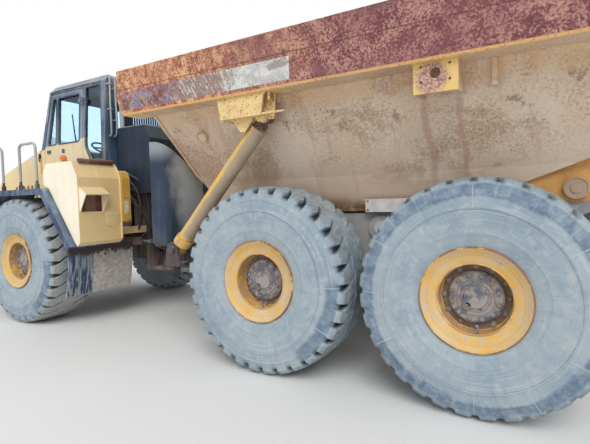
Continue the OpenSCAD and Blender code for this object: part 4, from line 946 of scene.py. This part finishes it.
# Gutters, door trim and wiper: rain gutters rolled from steel and spot-welded along the roof's edge, a moulding and
# pressed latch plates screwed to the door, and a wiper arm with a rubber blade.
gutters = [tube(flowing([(1.700, s * 0.797, 3.640), (2.300, s * 0.799, 3.648), (2.930, s * 0.799, 3.640),
                         (2.975, s * 0.806, 3.560), (3.060, s * 0.834, 3.150)]), 0.011) for s in (1, -1)]
piece("cab_gutters", gutters, rail_grey, "front", "navy_paint")
latches = []
for x, z, wide, high in ((3.020, 2.650, 0.055, 0.028), (2.620, 2.640, 0.034, 0.034), (3.030, 2.300, 0.050, 0.034)):
    corners = [(x - wide, z - high), (x + wide, z - high), (x + wide, z + high), (x - wide, z + high)]
    latches += [slab(rounded(on_wall(corners, 1, 0.001), 0.012, 4), (0, 0.008, 0))]
piece("door_latches", latches, rubber_seal, "door", "dark_trim")
moulding = tube(on_wall([(2.200, 3.565), (2.940, 3.565)], 1, 0.004), 0.008)
piece("door_moulding", [moulding], rail_grey, "door", "navy_paint")
wiper = [tube(flowing([(3.262, 0.10, 2.640), (3.235, 0.18, 2.820), (3.150, 0.30, 3.120)]), 0.008),
         tube([(3.225, 0.22, 2.860), (3.085, 0.36, 3.370)], 0.011, 6)]
piece("windscreen_wiper", wiper, black_trim, "front", "dark_trim")


# Deck treads and mirror glass: strips of steel welded across the deck for grip, and glass set in the mirrors' backs.
# The glass is dull in smears.
treads = [box((x, s * 1.330 - 0.210, 1.9885), (x + 0.016, s * 1.330 + 0.210, 1.995), 0.003)
          for s in (1, -1) for x in np.arange(2.16, 3.60, 0.075)]
piece("deck_treads", treads, rail_grey, "front", "navy_paint")
mirror_glass, w, shader, here = new_material("mirror_glass")
smears = w.noise(here, 9.0, 5.0, 0.6)
w.feed(shader, {"Base Color": w.mix(smears, srgb(170, 178, 184), srgb(206, 212, 216)),
                "Roughness": w.span(smears, 0.4, 0.7, 0.04, 0.22), "Metallic": 1.0})
for side, sign in SIDES.items():
    glass_edge = [(3.4385, sign * y, z) for y, z in ((1.500, 2.900), (1.680, 2.900), (1.680, 3.320), (1.500, 3.320))]
    piece(f"mirror_glass_{side}", [slab(rounded(glass_edge, 0.02, 4), (-0.004, 0, 0), 0.001)], mirror_glass, "front",
          "dark_trim")


# On the intake box: a brown roll along its top, a round cover held by six screws, and a bent tube up its edge.
# The post beside it holds a blank reflector and two screws, and a marker lamp stands out on a bent tube.
roll_paint = old_paint("roll_paint", srgb(98, 62, 60), srgb(124, 84, 78), dusty=0.2, rusty=0.4, rough=0.7)
roll = turned([(0.030, 0), (0.036, 0.01), (0.036, 0.52), (0.030, 0.53)], (1.225, 1.00, 2.340), (0, 1, 0), 20)
piece("intake_roll", [roll], roll_paint, "front", "frame")
cover = [hoop(0.118, 0.0035, (1.1285, 1.120, 1.545), (-1, 0, 0), 48)]
cover += bolt_ring(0.132, 6, (1.129, 1.120, 1.545), (-1, 0, 0), 0.014, 0.3)
cover += [turned([(0.114, 0), (0.114, 0.004), (0.100, 0.007)], (1.1295, 1.120, 1.545), (-1, 0, 0), 48)]
piece("intake_cover", cover, cream_paint, "front", "cab_paint")
edges = [tube(flowing([(1.300, 0.962, 2.335), (1.215, 0.962, 2.290), (1.130, 0.962, 2.110), (1.124, 0.962, 1.800),
                       (1.124, 0.962, 1.250)]), 0.012),
         tube([(1.124, 0.975, 1.585), (1.124, 1.262, 1.585)], 0.004, 6),
         tube([(1.126, 1.300, 2.110), (1.214, 1.300, 2.285), (1.262, 1.300, 2.336)], 0.004, 6)]
piece("intake_edges", edges, cream_paint, "front", "cab_paint")
reflector_white, w, shader, here = new_material("blank_reflector")
stain = w.noise(here, 22.0, 5.0, 0.65)
w.feed(shader, {"Base Color": w.mix(w.span(stain, 0.4, 0.65), srgb(222, 222, 214), srgb(186, 178, 160)),
                "Roughness": w.span(stain, 0.3, 0.7, 0.35, 0.6)})
plate = rounded([(1.0995, 0.848, 1.600), (1.0995, 0.920, 1.600), (1.0995, 0.920, 1.785), (1.0995, 0.848, 1.785)],
                0.008, 4)
piece("post_reflector", [slab(plate, (-0.005, 0, 0), 0.001)], reflector_white, "front", "dark_trim")
post_paint = old_paint("post_paint", srgb(214, 166, 66), srgb(224, 190, 118), dusty=0.35, rusty=0.35)
screws = [b for y in (0.862, 0.906) for b in bolt((1.0998, y, 1.830), (-1, 0, 0), 0.016, 0.007)]
piece("post_screws", screws, grimy_steel, "front", "frame")
amber, w, shader, here = new_material("amber_lens")
cloudy = w.noise(here, 40.0)
w.feed(shader, {"Base Color": w.mix(cloudy, srgb(206, 96, 44), srgb(232, 132, 70)),
                "Roughness": w.span(cloudy, 0.3, 0.7, 0.2, 0.4), "Coat Weight": 0.4})
lens_ring = turned([(0.046, 0), (0.046, 0.018), (0.036, 0.030), (0.014, 0.036)], (1.580, 1.510, 2.395),
                   (-0.86, 0.5, 0.0), 28)
piece("marker_lens", [lens_ring], amber, "front", "lamp")
stub = [turned([(0.042, 0), (0.042, 0.04), (0.030, 0.048)], (1.612, 1.491, 2.395), (-0.86, 0.5, 0.0), 24),
        tube(flowing([(1.610, 1.490, 2.365), (1.560, 1.400, 2.350), (1.470, 1.340, 2.350), (1.380, 1.300, 2.340)]),
             0.012)]
piece("marker_stub", stub, post_paint, "front", "dark_trim")


# Behind the cab: a pale strip clipped along the rear cover's top, two grey drain pipes held by clips, and the slats
# of the rear window's guard.
strips = [tube([(0.905, -0.690, 2.902), (0.905, 0.690, 2.902)], 0.010, 8),
          tube([(0.905, 0.693, 2.900), (1.495, 0.693, 2.900)], 0.008, 8)]
piece("rear_cover_strip", strips, rail_grey, "front", "dark_trim")
drains = [tube(flowing([(1.545, 0.775, 2.780), (1.500, 0.775, 2.850), (1.500, 0.775, 3.300), (1.500, 0.765, 3.700)]),
               0.014),
          tube(flowing([(1.545, 0.690, 2.780), (1.480, 0.690, 2.860), (1.480, 0.690, 3.300), (1.480, 0.690, 3.660)]),
               0.016)]
CLIPS = ((0.690, 3.020), (0.690, 3.500), (0.775, 3.180), (0.775, 3.560))
drains += [box((1.470, y - 0.02, z), (1.558, y + 0.02, z + 0.02)) for y, z in CLIPS]
piece("cab_drains", drains, rail_grey, "front", "dark_trim")
slats = [box((1.412, y - 0.014, 2.905), (1.428, y + 0.014, 3.375), 0.003) for y in np.arange(-0.255, 0.60, 0.047)]
piece("window_guard", slats, dark_navy, "front", "dark_trim")


# Hood latch and pipes: a yellow post of folded plate at the hood's rear corner, with a black rubber catch on it.
# Beside the centre joint, five bent steel pipes run down from the boxes, each held by two six-sided clamps.
latch_post = [box((3.264, 0.720, 2.300), (3.318, 0.846, 2.700), 0.006)]
piece("hood_latch_post", latch_post, post_paint, "front", "cab_paint")
latch = [box((3.272, 0.846, 2.560), (3.310, 0.862, 2.640), 0.004),
         tube(flowing([(3.291, 0.866, 2.500), (3.291, 0.874, 2.560), (3.291, 0.866, 2.640)]), 0.009)]
piece("hood_latch", latch, black_trim, "front", "dark_trim")
pipe_black = old_paint("pipe_black", srgb(38, 38, 42), srgb(64, 62, 64), srgb(116, 108, 100), dusty=0.15, rusty=0.2,
                       rough=0.6)
PIPES = [[(1.330, 0.900, 2.250), (1.180, 0.760, 2.180), (1.000, 0.660, 2.020), (0.960, 0.600, 1.700),
          (1.050, 0.520, 1.360)],
         [(1.330, 0.880, 2.160), (1.120, 0.800, 2.080), (0.980, 0.760, 1.860), (1.020, 0.700, 1.560),
          (1.180, 0.620, 1.350)],
         [(1.200, 0.780, 1.990), (1.080, 0.690, 1.930), (0.940, 0.560, 1.840), (0.900, 0.470, 1.600),
          (1.000, 0.440, 1.380)],
         [(1.200, 0.740, 1.800), (1.060, 0.720, 1.700), (1.000, 0.640, 1.500), (1.060, 0.560, 1.330),
          (1.220, 0.520, 1.250)],
         [(1.160, 0.830, 1.900), (1.080, 0.740, 1.780), (1.090, 0.640, 1.620), (1.140, 0.600, 1.450),
          (1.250, 0.600, 1.300)]]
PIPE_RADII = (0.019, 0.016, 0.022, 0.014, 0.013)
pipes = [tube(flowing(points), radius) for points, radius in zip(PIPES, PIPE_RADII)]
for points, r in zip(PIPES, PIPE_RADII):
    for k in (1, 3):
        along = np.subtract(points[k + 1], points[k - 1])
        pipes += [turned([(r, -0.03), (r * 1.5, -0.028), (r * 1.5, 0.028), (r, 0.03)], points[k], along, 6)]
piece("front_pipes", pipes, pipe_black, "front", "frame")


# Seat: a base and a back cushion of foam, covered in grey woven cloth, laid on the seat's frame in the cab.
# Each starts smaller than its place, swells as cloth under pressure, and is held to at most 24 mm of travel.
cloth, w, shader, here = new_material("seat_cloth")
_, y, z = w.xyz(here)
threads = w.times(w.sine(w.times(y, 900.0)), w.sine(w.times(z, 900.0)))
worn = w.noise(here, 7.0, 5.0, 0.6)
shade = w.mix(w.span(worn, 0.4, 0.65), srgb(52, 56, 64), srgb(88, 90, 94))
w.feed(shader, {"Base Color": w.mix(w.span(threads, -0.6, 0.6, 0.0, 0.3), shade, srgb(112, 114, 118)),
                "Roughness": 0.95, "Sheen Weight": 0.3})
grain(w, shader, threads, 0.4, 0.002)


DRAWN_IN, MOST_TRAVEL = 0.026, 0.024
VOXEL, PRESSURE, CLOTH_FRAMES = 0.006, 4.0, 20


def cushion(name, node, corners):
    """A padded form between two faces of a block, crowned in the middle and pulled in between its corners.

    A ring at a level from -1 to 1 is the rounded outline times half of the block less 26 mm, times 1 - 0.10 level^4.
    Cloth swells it, each point's travel is cut to 24 mm, and it is then kept inside the block's own box.
    """
    points = np.asarray(corners, float)
    low, high = points.min(0), points.max(0)
    centre = (low + high) / 2
    half = (high - low) / 2 - DRAWN_IN
    rings = []
    across = np.argmin(half)
    others = [k for k in range(3) if k != across]
    loop = rounded([(-1, -1, 0), (1, -1, 0), (1, 1, 0), (-1, 1, 0)], 0.35, 8)[:, :2]
    for level in (-1.0, -0.6, 0.0, 0.6, 1.0):
        ring = np.zeros((len(loop), 3))
        shrink = 1 - 0.10 * level ** 4
        ring[:, others[0]] = loop[:, 0] * half[others[0]] * shrink
        ring[:, others[1]] = loop[:, 1] * half[others[1]] * shrink
        ring[:, across] = level * half[across]
        rings.append(ring + centre)
    made = piece(name, [skin(rings)], cloth, "front", "seat_cloth", 180)
    bpy.context.view_layer.objects.active = made
    for other in bpy.context.selected_objects:
        other.select_set(False)
    made.select_set(True)
    made.data.remesh_voxel_size = VOXEL
    bpy.ops.object.voxel_remesh()
    before = np.empty(len(made.data.vertices) * 3)
    made.data.vertices.foreach_get("co", before)
    swell = made.modifiers.new("swell", "CLOTH")
    swell.settings.use_pressure = True
    swell.settings.uniform_pressure_force = PRESSURE
    swell.settings.effector_weights.gravity = 0.0
    for step in range(1, CLOTH_FRAMES + 1):
        scene.frame_set(step)
    after = np.empty(len(before))
    made.evaluated_get(bpy.context.evaluated_depsgraph_get()).data.vertices.foreach_get("co", after)
    made.modifiers.clear()
    scene.frame_set(1)
    travel = (after - before).reshape(-1, 3)
    length = np.linalg.norm(travel, axis=1, keepdims=True)
    travel *= np.minimum(1, MOST_TRAVEL / np.maximum(length, 1e-9))
    settled = np.clip(before.reshape(-1, 3) + travel, low + 0.001, high - 0.001)
    made.data.vertices.foreach_set("co", settled.ravel())
    made.data.update()
    made.data.shade_smooth()
    smooth = made.modifiers.new("smooth", "SUBSURF")
    smooth.levels = smooth.render_levels = 1
    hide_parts(node)
    return made


cushion("seat_base_pad", "seat_base", [(1.890, -0.250, 2.300), (2.420, 0.250, 2.430)])
cushion("seat_back_pad", "seat_back", [(1.832, -0.235, 2.440), (1.945, 0.235, 3.150)])


# Wing plates and mud flaps: navy steel plates that stand out from the rear frame, pale with dust and with painted
# light on their inner and upper parts, and slabs of rubber that hang behind the front wheels, caked with dry mud and
# streaked at their edges.
wing_paint, w, shader, here = new_material("wing_paint")
x, y, z = w.xyz(here)
clouds = w.noise(here, 2.2, 6.0, 0.6)
# Dust and painted light: the navy turns pale towards the plate's inner edge and towards its top
inwards = w.uneven(w.size(y), clouds, 0.5)
dust_and_painted_light = w.times(w.span(inwards, 1.30, 1.02), w.span(z, 1.20, 2.00, 0.35, 1.0))
dust_and_painted_light = w.most(dust_and_painted_light, w.times(w.span(z, 2.20, 2.44), 0.7))
weather(w, shader, here, w.mix(dust_and_painted_light, srgb(30, 46, 68), srgb(176, 182, 186)),
        w.mix(dust_and_painted_light, srgb(44, 62, 86), srgb(192, 194, 194)), srgb(170, 172, 172), 0.10, 0.08, 0.6, bumps=0.3)
dress(wing_paint, "wing_plates")

flap_rubber, w, shader, here = new_material("flap_rubber")
_, y, z = w.xyz(here)
drips = w.noise(w.stretch(here, (20.0, 26.0, 1.4)), 1.0, 5.0, 0.6)
crust = w.noise(here, 16.0, 6.0, 0.7)
mud = w.mix(w.span(crust, 0.4, 0.62), srgb(204, 198, 192), srgb(178, 168, 160))
edge = w.uneven(w.size(y), crust, 0.18)
wet = w.mix(w.span(drips, 0.46, 0.56), srgb(58, 70, 94), srgb(150, 158, 170))
mud = w.mix(w.span(edge, 1.20, 1.27), mud, wet)
top = w.uneven(z, crust, 0.35)
mud = w.mix(w.span(top, 1.00, 1.08), mud, srgb(84, 70, 68))
w.feed(shader, {"Base Color": mud, "Roughness": 0.88})
grain(w, shader, w.plus(crust, w.times(drips, 0.5)), 0.5, 0.006)
dress(flap_rubber, "mud_flaps")


# Lamps: pressed glass and plastic lenses under a clear coat, set in the front lamps and the tail lamps.
# Both have fine upright ribs, and have gone cloudy.
def lens_material(name, dull, clear):
    """A ribbed lamp lens under a clear coat: its upright ribs are bumps, as high as the sine of 420 Y."""
    material, w, shader, here = new_material(name)
    ribs = w.sine(w.times(w.xyz(here)[1], 420.0))
    cloudy = w.noise(here, 30.0)
    w.feed(shader, {"Base Color": w.mix(cloudy, dull, clear), "Roughness": w.span(cloudy, 0.3, 0.7, 0.1, 0.3),
                    "Coat Weight": 0.5})
    grain(w, shader, ribs, 0.3, 0.003)
    return material


lamp_lens = lens_material("lamp_lens", srgb(196, 198, 198), srgb(226, 226, 222))
tail_lens = lens_material("tail_lens", srgb(128, 34, 30), srgb(170, 52, 42))
dress(lamp_lens, "lamps")
dress(tail_lens, "tail_lamps")


# Size: what the finished truck measures.
low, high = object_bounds()
